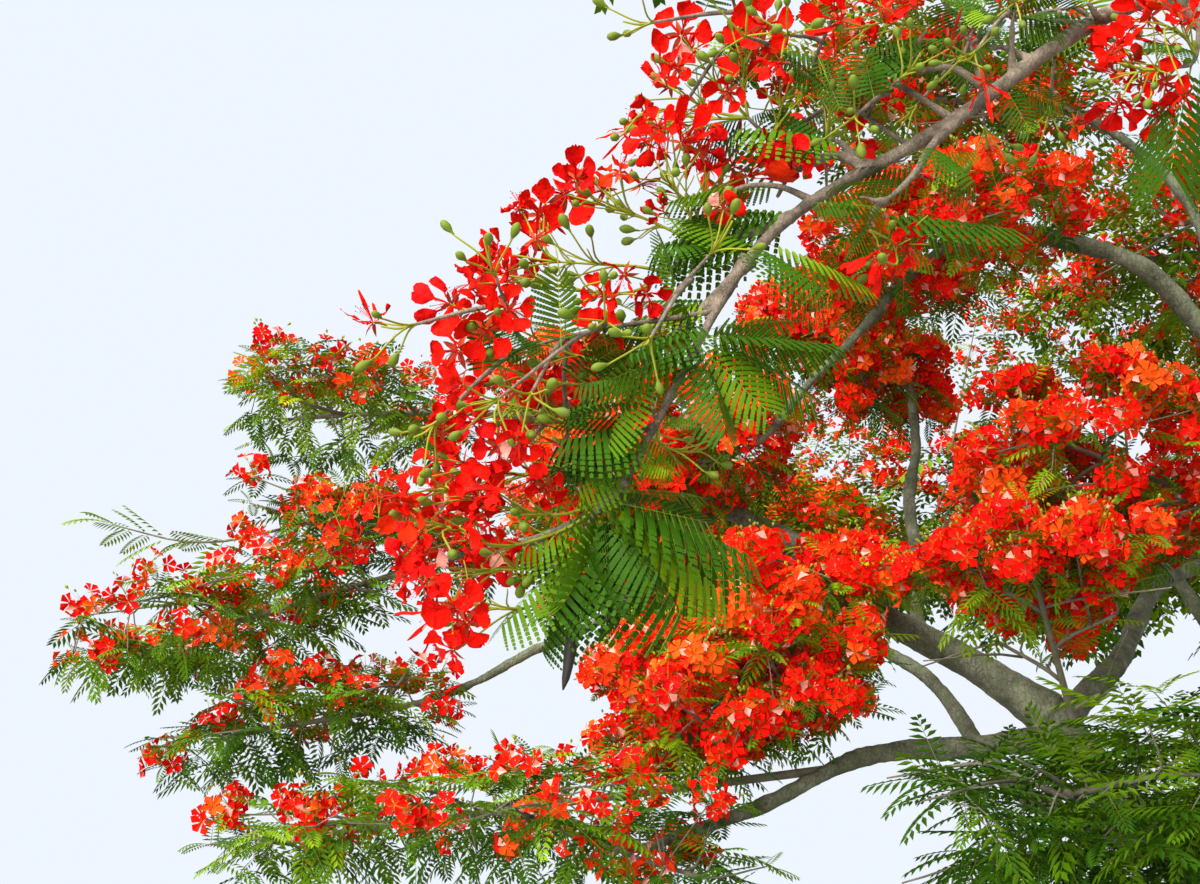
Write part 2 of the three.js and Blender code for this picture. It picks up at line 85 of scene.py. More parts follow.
# Limbs and the twigs, sprays and heads of each mass, by the rule of the solids
SEED = 20807
LIMB_PULL = 0.36
LIMB_TAPER = 0.8
WANDER = 0.018
SPACE_MARGIN = 0.006
SPACE_LEAD = 0.82
LIMB_CLEARANCE = 0.014
LIMB_SAMPLE = 0.06
STEM_END = 0.5
STEM_SHARE = 0.8
TWIG_ROOTS = (0.28, 0.94)
TWIG_PLACES = (-0.6, 0.6)
TWIG_REACH = (0.36, 0.52)
TWIG_LIFT = (-0.45, 0.5)
TWIG_JITTER = 0.1
STEM_THICKNESS = 0.036
TWIG_THICKNESS = 0.021
ROOT_DEPTH = 0.45
SPRAY_WIDTH = 0.54
SPRAY_SIZES = (1.1, 1, 0.9, 0.8, 0.7, 0.6)
SPRAY_SLOPE = (-20, 24)
END_AT, END_TURN = 0.97, (-6, 22)
SIDE_AT, SIDE_TURN = 0.62, (40, 66)
GOLDEN = math.pi * (3 - math.sqrt(5))
UP = np.array([0, 0, 1.0])

# How their lines are drawn here: inner corners of a bowed line, lead and bend of a stem, and
# girths and bends of twigs and sprays
BOW_CORNERS = (0.35, 0.7)
STEM_LEAD = 0.4
STEM_BEND = (-0.1, 0, 0.05)
STEM_SPRAYS = ((0.98, 0), (0.8, 70))
TWIG_TAPER = 0.7
TWIG_FOLLOW = 0.5
TWIG_CLEAR_FROM = 0.3
TWIG_STEPS = 5
SPRAY_CLEAR_FROM = 0.15
SPRAY_BEND = (14, 12)
SPRAY_RADII = (0.62, 0.004)
TWIG_SIDES = {5: 4, 6: 5, 10: 6}

# Sprigs of a mass: how far out and up they reach, their clearance from limbs, their radii, and
# the bays that part an edge into lobes
SPRIG_EDGE = 0.96
SPRIG_LIFT = (-0.62, 0.8)
SPRIG_CLEARANCE = 0.05
SPRIG_STEPS = 4
SPRIG_BASE = 0.0075
SPRIG_GROWTH = 0.004
SPRIG_TIP = 0.0032
LOBES = 4
LOBE_DEPTH = 0.17
# A sprig grows from the nearest twig, rather from one that runs its way, and turns to its tip.
# Its light varies, and rises with its height.
SPRIG_FOLLOW = 0.3
SPRIG_TURN = 0.6
SPRIG_LIGHT = (-0.35, 0.35)
HEIGHT_LIGHT = 0.45

# Leaves of a sprig. One that would pass the edge is cut short, and left out when too short.
LEAF_EDGE = 1.05
LEAF_RISES = (-24, 26)
LEAF_FORWARD = 0.55
LEAF_SIZES = (0.72, 1.12)
LEAF_CUT = 0.8
LEAST_LEAF = 0.42
LEAF_DROOPS = (0.02, 0.42)
LEAF_FOLDS = (-0.25, 0.2)
ROSETTE_DEPTH = 0.1
LEAF_TILT = 0.28
# Its green is the lighter, the more light it has, in steps
LEAF_LIGHT = (-0.12, 0.12)
GREEN_STEPS = 3.2
GREEN_START = 1.1

# Heads of blossom, in flower radii and degrees
FLOWER_TILTS = (18, 112)
FLOWER_REACH = (1.25, 2.2)
FLOWER_SIZES = (0.82, 1.15)
BUD_REACH = (1.6, 2.7)
BUD_SIZES = (0.35, 0.6)
HEAD_RED_SHARE = 0.7
FLOWER_LIFT, FLOWER_TURN, FLOWER_FOOT = 0.9, 0.35, 0.6
BUD_LEAN, BUD_FOOT = 0.42, 0.8
# A head leans as its sprig does, and upwards. A mass bears more of them higher up.
HEAD_FORWARD = 0.6
HEAD_UP = 0.9
HEAD_FLOWERS = (0.7, 1.3)
BLOOM_BASE = 0.72
BLOOM_RISE = 0.4
BLOOM_HEIGHTS = (-0.8, 0.7)

# Colours that are dealt out. Of the reds, RED_SHARES says up to where each is picked.
# The greens are one leaf green in steps of painted light and shade, from the deep green of leaves
# in shade to the lime of leaves in the most light.
GREENS = ("deep_green", "mid_green", "bright_green", "lime_green")
REDS = ("scarlet", "crimson", "flame", "orange")
RED_SHARES = (0.42, 0.6, 0.88)
NEAR_GREEN_SHARES = (0.62, 0.29, 0.08, 0.01)
NEAR_RED_SHARES = (0.66, 0.26, 0.07, 0.01)

# Places in the lists of finishes. A face that is DEALT takes the colour dealt to its leaf or
# flower, and those colours start at FIRST_DEALT.
DEALT = 0
RIB = 1
SEPAL = 1
PALE = 2
FLOWER_STALK = 3
FIRST_DEALT = 4
STAMEN = 8
ANTHER = 9
SHRIVELLED = 10

# Looks of leaves, petals, green wood and floor: the colour, how far it varies and how finely, its
# gloss, the depth of its crinkles, and what it is dimmed by. That dimming is painted shade: the
# near petals take the crown's reds darker, as the lamps light them more fully than the petals
# inside the crown.
NEAR_PAINTED_SHADE = 0.86
CRINKLE_SCALE = 95.0
Living = namedtuple("Living", "colour spread scale gloss crinkle dim",
                    defaults=(0.22, 30.0, 0.1, 0.0, 1.0))
LIVING = {
    "leaf_rib": Living("leaf_rib"),
    "stalk_green": Living("stalk", 0.25, 40.0, 0.2),
    "bud_skin": Living("bud_green", 0.35, 60.0, 0.3),
    "pod_skin": Living("pod", 0.3, 60.0, 0.3),
    "pale_petal": Living("pale_petal", 0.25, 90.0),
    "sepal": Living("sepal", 0.35, 80.0),
    "stamen": Living("stamen", 0.1),
    "anther": Living("anther", 0.1),
    "withered_petal": Living("withered", 0.4, 70.0),
    "studio_floor": Living("floor", 0.02, 0.4, 0.2),
}
LIVING.update((name, Living(name)) for name in GREENS)
LIVING.update((name, Living(name, 0.2, 30.0, 0.06)) for name in REDS)
# The near reds are the crown's reds darkened by painted shade.
LIVING.update(("near_" + name, Living(name, 0.3, 80.0, 0.06, 0.005, NEAR_PAINTED_SHADE)) for name in REDS)

# Looks of bark: its colours, how much moss, how fine, and how deep its cracks and grain go
Bark = namedtuple("Bark", "shade pale moss amount scale depth")
BARK_GLOSS = 0.25
BARKS = {
    "bough_bark": Bark("bark_shade", "bark_pale", "bark_moss", 0.65, 7.0, 0.006),
    "twig_bark": Bark("twig", "bark_pale", "bark_moss", 0.3, 20.0, 0.002),
    "near_bark": Bark("near_shade", "near_pale", "bark_moss", 0.1, 34.0, 0.0012),
}

# A limb runs from a share of its parent's length to a tip: heading in degrees, distance, height.
# It leaves at the slope rise, turned aside by turn, and arrives at the slope fall, by hook.
Limb = namedtuple("Limb", "name parent at tip rise fall radii turn hook", defaults=(0, 0))
LIMBS = (
    Limb("bough_left", "trunk", 0.84, (158, 1.63, 3.17), 50, 52, (0.16, 0.112)),
    Limb("bough_centre", "trunk", 0.95, (96, 0.42, 4.9), 80, 84, (0.165, 0.092)),
    Limb("bough_near", "trunk", 0.86, (268, 4.3, 4.95), 60, 20, (0.15, 0.062), 10, -8),
    Limb("bough_right", "trunk", 0.87, (350, 2.25, 3.35), 46, 40, (0.15, 0.092)),
    Limb("bough_back", "trunk", 0.85, (76, 2.25, 3.35), 48, 40, (0.15, 0.092)),
    Limb("arm_left", "bough_left", 1, (165.4, 3.58, 4.57), 34, 30, (0.098, 0.056)),
    Limb("arm_low", "bough_left", 0.93, (178.5, 3.65, 2.45), 4, -22, (0.074, 0.036)),
    Limb("arm_inner", "bough_left", 0.97, (82, 2.9, 4.7), 38, 18, (0.076, 0.042), -12),
    Limb("arm_left_back", "bough_left", 0.62, (130, 4.1, 4.5), 16, 26, (0.07, 0.036)),
    Limb("tier_top", "arm_left", 1, (166, 5.05, 5.18), 38, 2, (0.044, 0.024)),
    Limb("tier_mid", "arm_left", 0.97, (173, 5.05, 4.02), -8, -16, (0.04, 0.022)),
    Limb("tier_low", "arm_left", 0.92, (171.5, 4.95, 3.3), -46, -20, (0.046, 0.022), 8),
    Limb("riser", "arm_left", 0.34, (141.5, 2.52, 5.42), 66, 82, (0.044, 0.03)),
    Limb("arch_rise", "bough_centre", 0.97, (161, 1.42, 6.03), 66, 12, (0.066, 0.05)),
    Limb("arch_fall", "arch_rise", 1, (172.3, 3.02, 4.8), 4, -50, (0.048, 0.026)),
    Limb("crown_left", "bough_centre", 0.9, (146, 1.05, 6.85), 68, 40, (0.06, 0.032)),
    Limb("crown_front", "bough_centre", 0.93, (258, 1.35, 7.15), 68, 24, (0.062, 0.032)),
    Limb("crown_right", "bough_centre", 1, (345, 1.4, 7.2), 70, 24, (0.064, 0.032)),
    Limb("crown_back", "bough_centre", 0.87, (66, 1.8, 7.0), 66, 20, (0.06, 0.032)),
    Limb("arm_near", "bough_near", 1, (244.3, 6.99, 3.18), 12, -36, (0.052, 0.018), 26, -18),
    Limb("near_limb", "arm_near", 1, (238.2, 7.53, 2.29), -26, -68, (0.0165, 0.0055)),
    Limb("side_left", "bough_near", 0.55, (224, 3.9, 6.35), 52, 14, (0.062, 0.03), 16),
    Limb("side_front", "bough_near", 0.97, (292, 4.9, 5.6), 24, 4, (0.044, 0.028)),
    Limb("arm_right_front", "bough_right", 0.93, (324, 4.05, 5.55), 42, 18, (0.062, 0.03)),
    Limb("arm_right", "bough_right", 1, (0, 4.2, 5.65), 48, 16, (0.066, 0.03)),
    Limb("arm_right_back", "bough_right", 0.88, (33, 4.05, 5.5), 42, 18, (0.06, 0.03)),
    Limb("arm_back_right", "bough_back", 0.93, (64, 4.2, 5.55), 42, 16, (0.062, 0.03)),
    Limb("arm_back", "bough_back", 1, (98, 4.2, 5.6), 46, 16, (0.066, 0.03)),
)
NEAR_LIMBS = ("arm_near", "near_limb")

# A mass is a flattened egg of space on a limb: heading and rise of its length, its half sizes, and
# lead, how far its middle lies beyond its start. at is the share of the limb where it starts, or
# None for the limb's end. spray is the length of its sprays, slope their rise, and red says which
# twigs end in a head in the solids. Of the fine work, bloom is the share of sprigs that flower, or
# None where none does, sprigs how many a square metre, leaf a leaf's length, flowers how many in a
# head, shade how dark its greens run, rosette the fewest and most leaves of a sprig, and open the
# size of its flowers against the usual.
Mass = namedtuple("Mass", "name limb heading rise half twigs spray at red slope lead bloom"
                          " sprigs leaf flowers shade rosette open",
                  defaults=(None, False, SPRAY_SLOPE, SPACE_LEAD, None, 0, 0, 0, 0, (0, 0), 1))


def mass_of(name, limb, heading, rise, kind, **own):
    return Mass(name, limb, heading, rise, **{**kind, **own})


WIDE = dict(half=(2.15, 1.9, 0.76), twigs=5, spray=1.3, lead=0.7, sprigs=13, leaf=0.47,
            bloom=0.75, flowers=8, shade=0.3, rosette=(4, 7), open=1.25)
TOP = dict(half=(2.1, 1.95, 0.76), twigs=5, spray=1.3, red=True, lead=0.7, sprigs=11, leaf=0.43,
           bloom=0.8, flowers=8, shade=0.3, rosette=(4, 7), open=0.95)
TIER = dict(half=(1.0, 0.76, 0.33), twigs=4, spray=0.74, sprigs=22, leaf=0.33, bloom=0.5,
            flowers=7, shade=0.42, rosette=(4, 7))
CLUMP = dict(half=(0.84, 0.76, 0.52), twigs=5, spray=0.64, red=True, sprigs=33, leaf=0.3,
             bloom=0.86, flowers=18, shade=0.25, rosette=(3, 6))
NEAR = dict(half=(0.21, 0.19, 0.19), twigs=5, spray=0.19, red=True, slope=(-62, 6), bloom=1)

LEFT_MASSES = (
    mass_of("tier_top_mass", "tier_top", 168, 2, TIER, half=(0.82, 0.9, 0.43), bloom=0.34,
            shade=0.25),
    mass_of("tier_upper_mass", "arm_left", 158, 42, CLUMP, at=0.98),
    mass_of("tier_mid_mass", "tier_mid", 160, 14, TIER, at=0.82, half=(0.9, 0.76, 0.3)),
    mass_of("tier_tip_mass", "tier_mid", 178, -17, TIER, half=(1.2, 0.86, 0.33)),
    mass_of("tier_low_mass", "tier_low", 175, -10, TIER, half=(0.95, 0.8, 0.33)),
    mass_of("tier_foot_mass", "arm_low", 177, -7, TIER, at=0.6, lead=2.6, half=(0.95, 0.7, 0.33)),
    mass_of("low_mass", "arm_low", 186, 8, TIER, lead=0.4, half=(1.1, 0.85, 0.44)),
    mass_of("arm_left_mass", "arm_left", 210, -34, CLUMP, at=0.5, lead=0.9, half=(1.0, 0.86, 0.72),
            sprigs=42),
)
MIDDLE_MASSES = (
    mass_of("arch_mass", "arch_fall", 150, -10, CLUMP),
    mass_of("riser_mass", "riser", 140, 44, CLUMP, half=(0.76, 0.8, 0.52)),
    mass_of("arch_top_mass", "arch_rise", 200, -14, CLUMP, at=0.98, half=(0.86, 0.95, 0.46),
            sprigs=25, bloom=0.8),
    mass_of("centre_mass", "bough_centre", 190, 20, CLUMP, at=0.78, lead=1.35,
            half=(0.85, 0.85, 0.72), sprigs=28, bloom=0.85),
    mass_of("inner_mass", "bough_left", 246, 34, CLUMP, at=0.9, lead=1.2, half=(0.82, 0.8, 0.48)),
    mass_of("leafy_mass", "bough_left", 236, 8, TIER, at=0.5, lead=1.5, half=(1.15, 1.05, 0.62),
            twigs=5, spray=0.8, bloom=None, leaf=0.42, shade=0.6, sprigs=40),
)
BACK_LEFT_MASSES = (
    mass_of("left_back_mass", "arm_left_back", 108, 24, WIDE, half=(2.15, 1.9, 0.9), sprigs=20,
            bloom=0.95, flowers=11, open=1.05),
    mass_of("back_inner_mass", "arm_inner", 92, 10, WIDE, sprigs=16, bloom=0.95, flowers=10),
)
TOP_MASSES = (
    mass_of("crown_left_mass", "crown_left", 165, 16, TOP, lead=0.82, half=(1.15, 1.35, 0.62),
            sprigs=20, leaf=0.36, bloom=0.62, flowers=10, shade=0.15, open=1),
    mass_of("crown_front_mass", "crown_front", 262, 4, TOP),
    mass_of("crown_right_mass", "crown_right", 352, 4, TOP),
    mass_of("crown_back_mass", "crown_back", 82, 2, TOP, sprigs=14, bloom=0.62, flowers=9,
            shade=0.15),
)
FRONT_MASSES = (
    mass_of("side_left_mass", "side_left", 218, -2, WIDE, lead=0.82, half=(1.9, 1.6, 0.64)),
    mass_of("front_mass", "arm_near", 255, 22, WIDE, at=0.24, lead=0.82, half=(1.7, 1.5, 0.6)),
    mass_of("side_front_mass", "side_front", 300, -10, WIDE),
    mass_of("right_front_mass", "arm_right_front", 332, -8, WIDE),
)
BACK_MASSES = (
    mass_of("right_mass", "arm_right", 4, -8, WIDE),
    mass_of("right_back_mass", "arm_right_back", 38, -8, WIDE),
    mass_of("back_right_mass", "arm_back_right", 70, -8, WIDE),
    mass_of("back_mass", "arm_back", 104, -8, WIDE),
)
NEAR_MASSES = (
    mass_of("near_left_mass", "near_limb", 184, -14, NEAR, at=0.78, lead=0.62,
            half=(0.27, 0.23, 0.33)),
    mass_of("near_high_mass", "near_limb", 180, 38, NEAR, at=0.44, lead=0.9,
            half=(0.24, 0.21, 0.22)),
    mass_of("near_inner_mass", "near_limb", 168, 12, NEAR, at=0.16, lead=0.4,
            half=(0.27, 0.21, 0.19)),
)
MASSES = (LEFT_MASSES + MIDDLE_MASSES + BACK_LEFT_MASSES + TOP_MASSES + FRONT_MASSES
          + BACK_MASSES + NEAR_MASSES)
SECTIONS = {
    "left": LEFT_MASSES,
    "middle": MIDDLE_MASSES,
    "top": TOP_MASSES,
    "front": FRONT_MASSES,
    "back": BACK_MASSES + BACK_LEFT_MASSES,
}
NEARER_SECTIONS = ("left", "middle")

# The near limb as it shows in the view, in steps across and down a view of 1200 by 884. Branches
# have a radius at each end. A head has its axis, its open flowers, those that face the viewer and
# its buds. A leaf runs from its foot to its tip.
BRANCHES = (
    (0.0085, 0.0045, ((863, 153), (834, 155), (809, 166), (795, 171), (784, 184), (777, 198))),
    (0.0095, 0.005, ((752, 262), (713, 300), (680, 329), (655, 352), (640, 374))),
    (0.008, 0.0042, ((795, 224), (757, 231), (720, 240), (694, 243), (669, 274))),
    (0.0065, 0.0036, ((866, 152), (841, 143), (826, 139))),
    (0.0052, 0.003, ((811, 196), (781, 187), (748, 186), (722, 196))),
    (0.006, 0.0032, ((1008, 74), (1012, 40), (1013, 19), (1018, 2))),
    (0.0068, 0.003, ((984, 84), (957, 69), (935, 68), (916, 70), (918, 43), (926, 30))),
    (0.0058, 0.003, ((980, 84), (970, 43), (962, 37), (950, 20))),
    (0.0055, 0.003, ((1034, 60), (1005, 48), (990, 47), (976, 36))),
    (0.006, 0.003, ((944, 104), (910, 91), (890, 84), (875, 80), (866, 88))),
    (0.0085, 0.0036, ((972, 94), (950, 128), (931, 147), (918, 169), (905, 184), (884, 200),
                      (860, 197))),
    (0.0055, 0.003, ((884, 200), (872, 214), (868, 230))),
    (0.007, 0.004, ((1112, 28), (1098, 18), (1088, 2))),
    (0.005, 0.003, ((795, 171), (772, 142), (748, 118))),
    (0.0046, 0.0028, ((668, 330), (650, 340), (632, 338))),
    (0.0045, 0.0028, ((650, 420), (636, 434), (628, 446))),
    (0.0075, 0.004, ((622, 482), (606, 500), (594, 516), (583, 540), (576, 562))),
    (0.005, 0.003, ((1214, 30), (1196, 56), (1176, 68))),
)
HEADS = (
    (((748, 118), (743, 84), (746, 62)), (), ((749, 50), (765, 26)),
     ((732, 29), (723, 43), (731, 80), (759, 61), (738, 14))),
    (((748, 118), (718, 86), (700, 62)), ((677, 68), (729, 92), (693, 48)), ((681, 35),),
     ((714, 57), (700, 30))),
    (((745, 120), (715, 112), (690, 100)), ((670, 86), (702, 108), (662, 74)), (),
     ((658, 80), (645, 100))),
    (((742, 124), (700, 118), (672, 110)), ((679, 123), (659, 128), (646, 116), (630, 130)), (),
     ((627, 123), (618, 138))),
    (((772, 142), (780, 110), (776, 96)), ((774, 84), (768, 148), (752, 148), (792, 160)), (),
     ((785, 148), (803, 96), (790, 80))),
    (((826, 139), (832, 110), (846, 112)), ((834, 60), (857, 141), (886, 104)), ((861, 104),),
     ((832, 91), (824, 105), (852, 132), (841, 78))),
    (((926, 30), (890, 22), (868, 26)), ((840, 20), (852, 6), (884, 8), (868, 36), (905, 4)), (),
     ((841, 30), (858, 44))),
    (((694, 240), (689, 212), (674, 190)), ((645, 142), (664, 152), (682, 142), (700, 152)), (),
     ((637, 178), (675, 176), (686, 166), (668, 132))),
    (((694, 240), (700, 205), (716, 186)), ((718, 188), (748, 176), (732, 166), (708, 168)), (),
     ((725, 199), (740, 190))),
    (((694, 242), (666, 228), (635, 215), (606, 206)),
     ((641, 184), (664, 212), (620, 172), (604, 190), (576, 180)), ((565, 194),),
     ((597, 185), (590, 196), (612, 212), (623, 208), (577, 206))),
    (((669, 274), (641, 267), (594, 264), (560, 262)),
     ((520, 208), (497, 252), (507, 271), (536, 240), (548, 220)), ((539, 214),),
     ((568, 229), (591, 237), (552, 244), (554, 272), (575, 276), (544, 200))),
    (((669, 274), (632, 292), (594, 292), (551, 283)),
     ((484, 272), (515, 279), (470, 284), (646, 294), (604, 297), (624, 275), (532, 262)), (),
     ((526, 269), (527, 286), (547, 289), (611, 279), (558, 304), (581, 303), (569, 312))),
    (((632, 338), (612, 342), (603, 341)), (), ((595, 339),), ((622, 322),)),
    (((640, 372), (600, 362), (560, 350), (520, 330)),
     ((507, 310), (486, 329), (461, 320), (450, 304), (579, 374), (555, 366), (530, 352)), (),
     ((498, 315), (475, 330), (492, 353), (505, 358))),
    (((640, 374), (590, 384), (540, 380), (505, 368)),
     ((480, 362), (516, 392), (548, 398)), ((458, 350),), ((488, 361), (550, 392), (524, 376))),
    (((640, 430), (590, 430), (540, 412), (500, 402)),
     ((443, 432), (478, 420), (524, 428), (470, 400)), ((460, 404), (499, 446)),
     ((530, 436), (506, 459), (552, 424), (446, 420))),
    (((628, 446), (580, 462), (530, 474), (495, 470)),
     ((463, 464), (436, 462), (476, 488), (535, 478), (546, 488), (516, 458)), (),
     ((446, 459), (460, 474), (428, 477), (500, 484))),
    (((606, 500), (558, 515), (500, 506), (455, 492)),
     ((402, 495), (435, 490), (480, 504), (494, 491), (408, 508), (452, 478)), (),
     ((430, 477), (432, 504), (518, 515), (523, 528))),
    (((606, 500), (566, 529), (505, 547), (480, 540), (446, 526)),
     ((421, 528), (409, 537), (404, 557), (425, 550), (464, 540), (440, 516)), (),
     ((422, 517), (402, 520), (452, 556))),
    (((594, 516), (589, 540), (558, 556), (532, 568), (490, 570)),
     ((564, 552), (492, 554), (407, 578), (426, 566), (512, 566), (470, 576)), (),
     ((446, 580), (520, 580))),
    (((583, 540), (555, 588), (526, 608), (480, 606), (462, 594)),
     ((438, 612), (425, 586), (452, 650), (466, 622)), ((457, 608),), ((480, 602), (470, 640))),
    (((1176, 68), (1160, 70), (1142, 70)),
     ((1116, 50), (1116, 74), (1140, 84), (1118, 104), (1159, 115), (1132, 62)), ((1164, 82),),
     ((1185, 65), (1131, 67), (1150, 100))),
    (((1196, 56), (1184, 36), (1168, 26)),
     ((1170, 45), (1178, 12), (1190, 22), (1130, 28), (1150, 16), (1186, 96)), (),
     ((1120, 20), (1195, 50), (1160, 6))),
    (((868, 230), (890, 240), (896, 252)), ((880, 252), (906, 246)), (), ((884, 262),)),
    (((654, 422), (661, 445), (690, 452), (704, 448)), (), (), ((713, 443),)),
)
LEAVES = (
    (1012, 20, 1076, 12), (1010, 22, 962, 2), (1014, 18, 985, -14), (1013, 24, 1060, 40),
    (970, 40, 905, 40), (966, 38, 944, 4), (918, 43, 846, 84), (920, 40, 872, 52),
    (926, 30, 900, -6), (1010, 84, 1060, 112), (1006, 86, 1030, 132), (990, 47, 960, 58),
    (932, 148, 978, 182), (926, 158, 976, 160), (918, 169, 856, 176), (872, 214, 1014, 230),
    (868, 224, 930, 262), (866, 226, 840, 262), (860, 197, 820, 216), (841, 143, 742, 126),
    (838, 142, 776, 112), (830, 140, 772, 160), (750, 120, 706, 166), (748, 120, 694, 134),
    (746, 118, 786, 112), (781, 187, 700, 190), (748, 186, 672, 200), (790, 206, 694, 208),
    (786, 214, 690, 232), (812, 198, 884, 188), (808, 204, 876, 214), (757, 233, 660, 250),
    (722, 240, 656, 262), (760, 240, 870, 286), (756, 246, 826, 292), (752, 244, 680, 222),
    (716, 302, 632, 308), (714, 304, 640, 326), (712, 330, 632, 350), (700, 340, 612, 366),
    (694, 344, 604, 384), (698, 344, 760, 410), (696, 346, 728, 424), (704, 336, 836, 350),
    (702, 338, 812, 392), (706, 332, 790, 322), (708, 336, 784, 372), (668, 332, 596, 330),
    (656, 352, 690, 372), (640, 372, 566, 408), (642, 374, 580, 390), (652, 408, 566, 418),
    (648, 420, 562, 440), (642, 432, 568, 462), (650, 412, 692, 430), (640, 430, 672, 466),
    (632, 448, 580, 486), (628, 458, 664, 480), (622, 480, 540, 470), (640, 372, 600, 440),
    (612, 492, 700, 494), (608, 500, 746, 556), (606, 502, 726, 592), (604, 504, 684, 616),
    (602, 504, 640, 622), (598, 508, 590, 616), (596, 512, 548, 604), (606, 498, 708, 524),
    (592, 518, 656, 576), (590, 522, 520, 560), (584, 540, 610, 632), (580, 552, 502, 622),
    (576, 560, 540, 648), (600, 506, 676, 560), (1206, 80, 1172, 156), (1212, 86, 1192, 176),
    (1206, 74, 1160, 118), (1088, 6, 1050, -8), (1198, 52, 1150, 44),
)
# Stretches of the view where the crown stands open: two ends and how far to either side it does
OPENINGS = (
    ((905, 630), (1062, 722), 46),
    ((1066, 718), (1136, 644), 36),
    ((1150, 630), (1200, 606), 34),
    ((880, 745), (1030, 738), 28),
    ((880, 800), (940, 884), 46),
)
# Shoots that reach out of a section: the joints that bear a head, and the spots where they show
SHOOTS = {
    "left": (((2,), ((268, 530), (225, 541), (180, 541), (140, 532), (112, 524))),),
    "back": (((4, 9), ((806, 486), (812, 462), (820, 436))),
             ((3, 8), ((840, 486), (848, 460), (850, 432))),
             ((5, 9), ((866, 486), (874, 460), (884, 438))),
             ((3, 6, 9), ((962, 400), (968, 362), (976, 322))),
             ((5, 9), ((1000, 400), (1000, 360), (1004, 330)))),
}
SHOOT_DRIFT = 0.1
SHOOT_RADII = (0.01, 0.004)
SHOOT_STEPS = 10
SHOOT_LEAVES = (0.24, 0.34)
SHOOT_LIGHT = 0.4
SHOOT_FLOWERS = 6
SHOOT_PAIR = 2.6
SHOOT_FORWARD = 0.7
SHOOT_SIDE = (1, 1, 0.4)
POD = ((576, 560), (574, 590), (574, 612), (573, 630), (570, 652), (567, 672), (563, 690))
POD_DRIFT = 0.02
POD_SHARES = (0, 0.1, 0.22, 0.7, 0.92, 1)
POD_RADII = (0.002, 0.003, 0.0085, 0.0085, 0.005, 0.001)

# The near limb's growth. A branch whose tip is thicker than THICK_TIP is grown together with the
# wood. A leaf whose foot shows farther than FOOT_SLACK from wood starts at the foot's own spot.
THICK_TIP = 0.0031
FOOT_SLACK = 24
KNOT_SWELL = 0.16
FORK_SWELL = 0.55
FORK_LENGTH = 2.2
ROD_STEPS = 24
STALK_STEPS = 12
NEAR_TWIG_RADII = (0.0042, 0.0022)
AXIS_RADII = (0.0028, 0.0015)
RULE_AXIS_RADII = (0.0024, 0.0014)
PEDICEL_RADII = (0.0017, 0.0013)
BARE_RADII = (0.0015, 0.0009)
PEDICEL = 0.075
BARE_STALKS = 9
BARE_PLACES = (0.35, 0.98)
BARE_FORWARD = (0.3, 1.2)
BARE_LENGTHS = (0.035, 0.075)
BRANCH_DRIFT = 0.05
NEAR_DEPTH = 0.11
BUD_ADVANCE = 0.05
NEAR_LEAF_DEPTHS = (-0.07, 0.05)
NEAR_TILT = 0.3
NEAR_DROOPS = (0.05, 0.22)
NEAR_FOLDS = (-0.75, -0.05)
NEAR_BUD_SIZES = (0.023, 0.034)
NEAR_SIZES = (0.85, 1.15)
FACE_LEAN = 0.4
FACE_TURNS = (-0.4, 0.5)
# What grows on the rule's own twigs: where its stalks start, how far forward and out they reach,
# and the length and turn of its leaves
RULE_PLACES = (0.3, 0.99)
RULE_FORWARD = (0.1, 1.0)
RULE_REACH = (0.04, 0.06)
RULE_LEAVES = (0.08, 0.11)
RULE_TURN = 2.4
# Of the near flowers some are spent. Each stage, at ease, facing and spent, has its size and its
# share of withered ones.
SPENT_SHARE = 0.3
NEAR_SCALES = (1.0, 1.24, 0.9)
WITHERED = (0.02, 0, 0.2)

# A near leaf's blades against their side rib, and a near petal's rows with the half width of each.
# Those of a spent one shrink by SPENT_HALVES.
LEAFLET_SPAN = 0.076
PETAL_ROWS = np.array([0.0, 0.2, 0.4, 0.54, 0.68, 0.82, 0.93, 1.0])
PETAL_HALVES = np.array([0.03, 0.032, 0.05, 0.25, 0.375, 0.4, 0.31, 0.14])
SPENT_HALVES = np.array([1, 1, 0.8, 0.3, 0.3, 0.25, 0.2, 0.2])

# Wood: the collar where a limb leaves its parent, and the swells of its surface, each with its
# size and its share of the relief
COLLAR_LENGTH = 0.22
COLLAR_SWELL = 0.45
SMOOTH_ANGLE = 80
ROD_SIDES = 14
SWELLS = (("swells", 0.34, 1.0), ("lumps", 0.11, 0.45), ("ridges", 0.045, 0.26))
SWELL_HEIGHT = 2
NEAR_SWELLS = (("near_swells", 0.07, 1.0), ("near_knots", 0.018, 0.6))
NEAR_SWELL_HEIGHT = 0.28

# The photograph's view
CAMERA_PLACE = (-4.0, -8.6, 1.6)
CAMERA_PITCH = 19.0
CAMERA_LENS = 50.0
SENSOR_WIDTH = 36.0
PHOTO_SIZE = (1200, 884)
FOCAL = CAMERA_LENS / SENSOR_WIDTH * PHOTO_SIZE[0]
TILT = math.radians(CAMERA_PITCH)

# The stage. A light has its place, the way it comes from, its strength and its width in degrees.
FLOOR_SIZE = 600.0
SKY_COLOUR = (0.86, 0.92, 1.0, 1)
LIGHTS = (
    ((0, 0, 12), (-0.35, -0.5, 0.8), 3.9, 12),
    ((-15, -21, 3), (-0.5, -0.85, 0.1), 6.0, 60),
)


def chance(*keys):
    """A repeatable number from 0 to 1 for a list of whole numbers, one of which tells its use."""
    mix = SEED
    for key in keys:
        mix = ((mix ^ (key + 1)) * 0x9E3779B1) & 0xFFFFFFFF
        mix ^= mix >> 15
    mix = ((mix ^ (mix >> 13)) * 0x85EBCA6B) & 0xFFFFFFFF
    return (mix ^ (mix >> 16)) / 4294967296


def lerp(low, high, share):
    return low + (high - low) * share


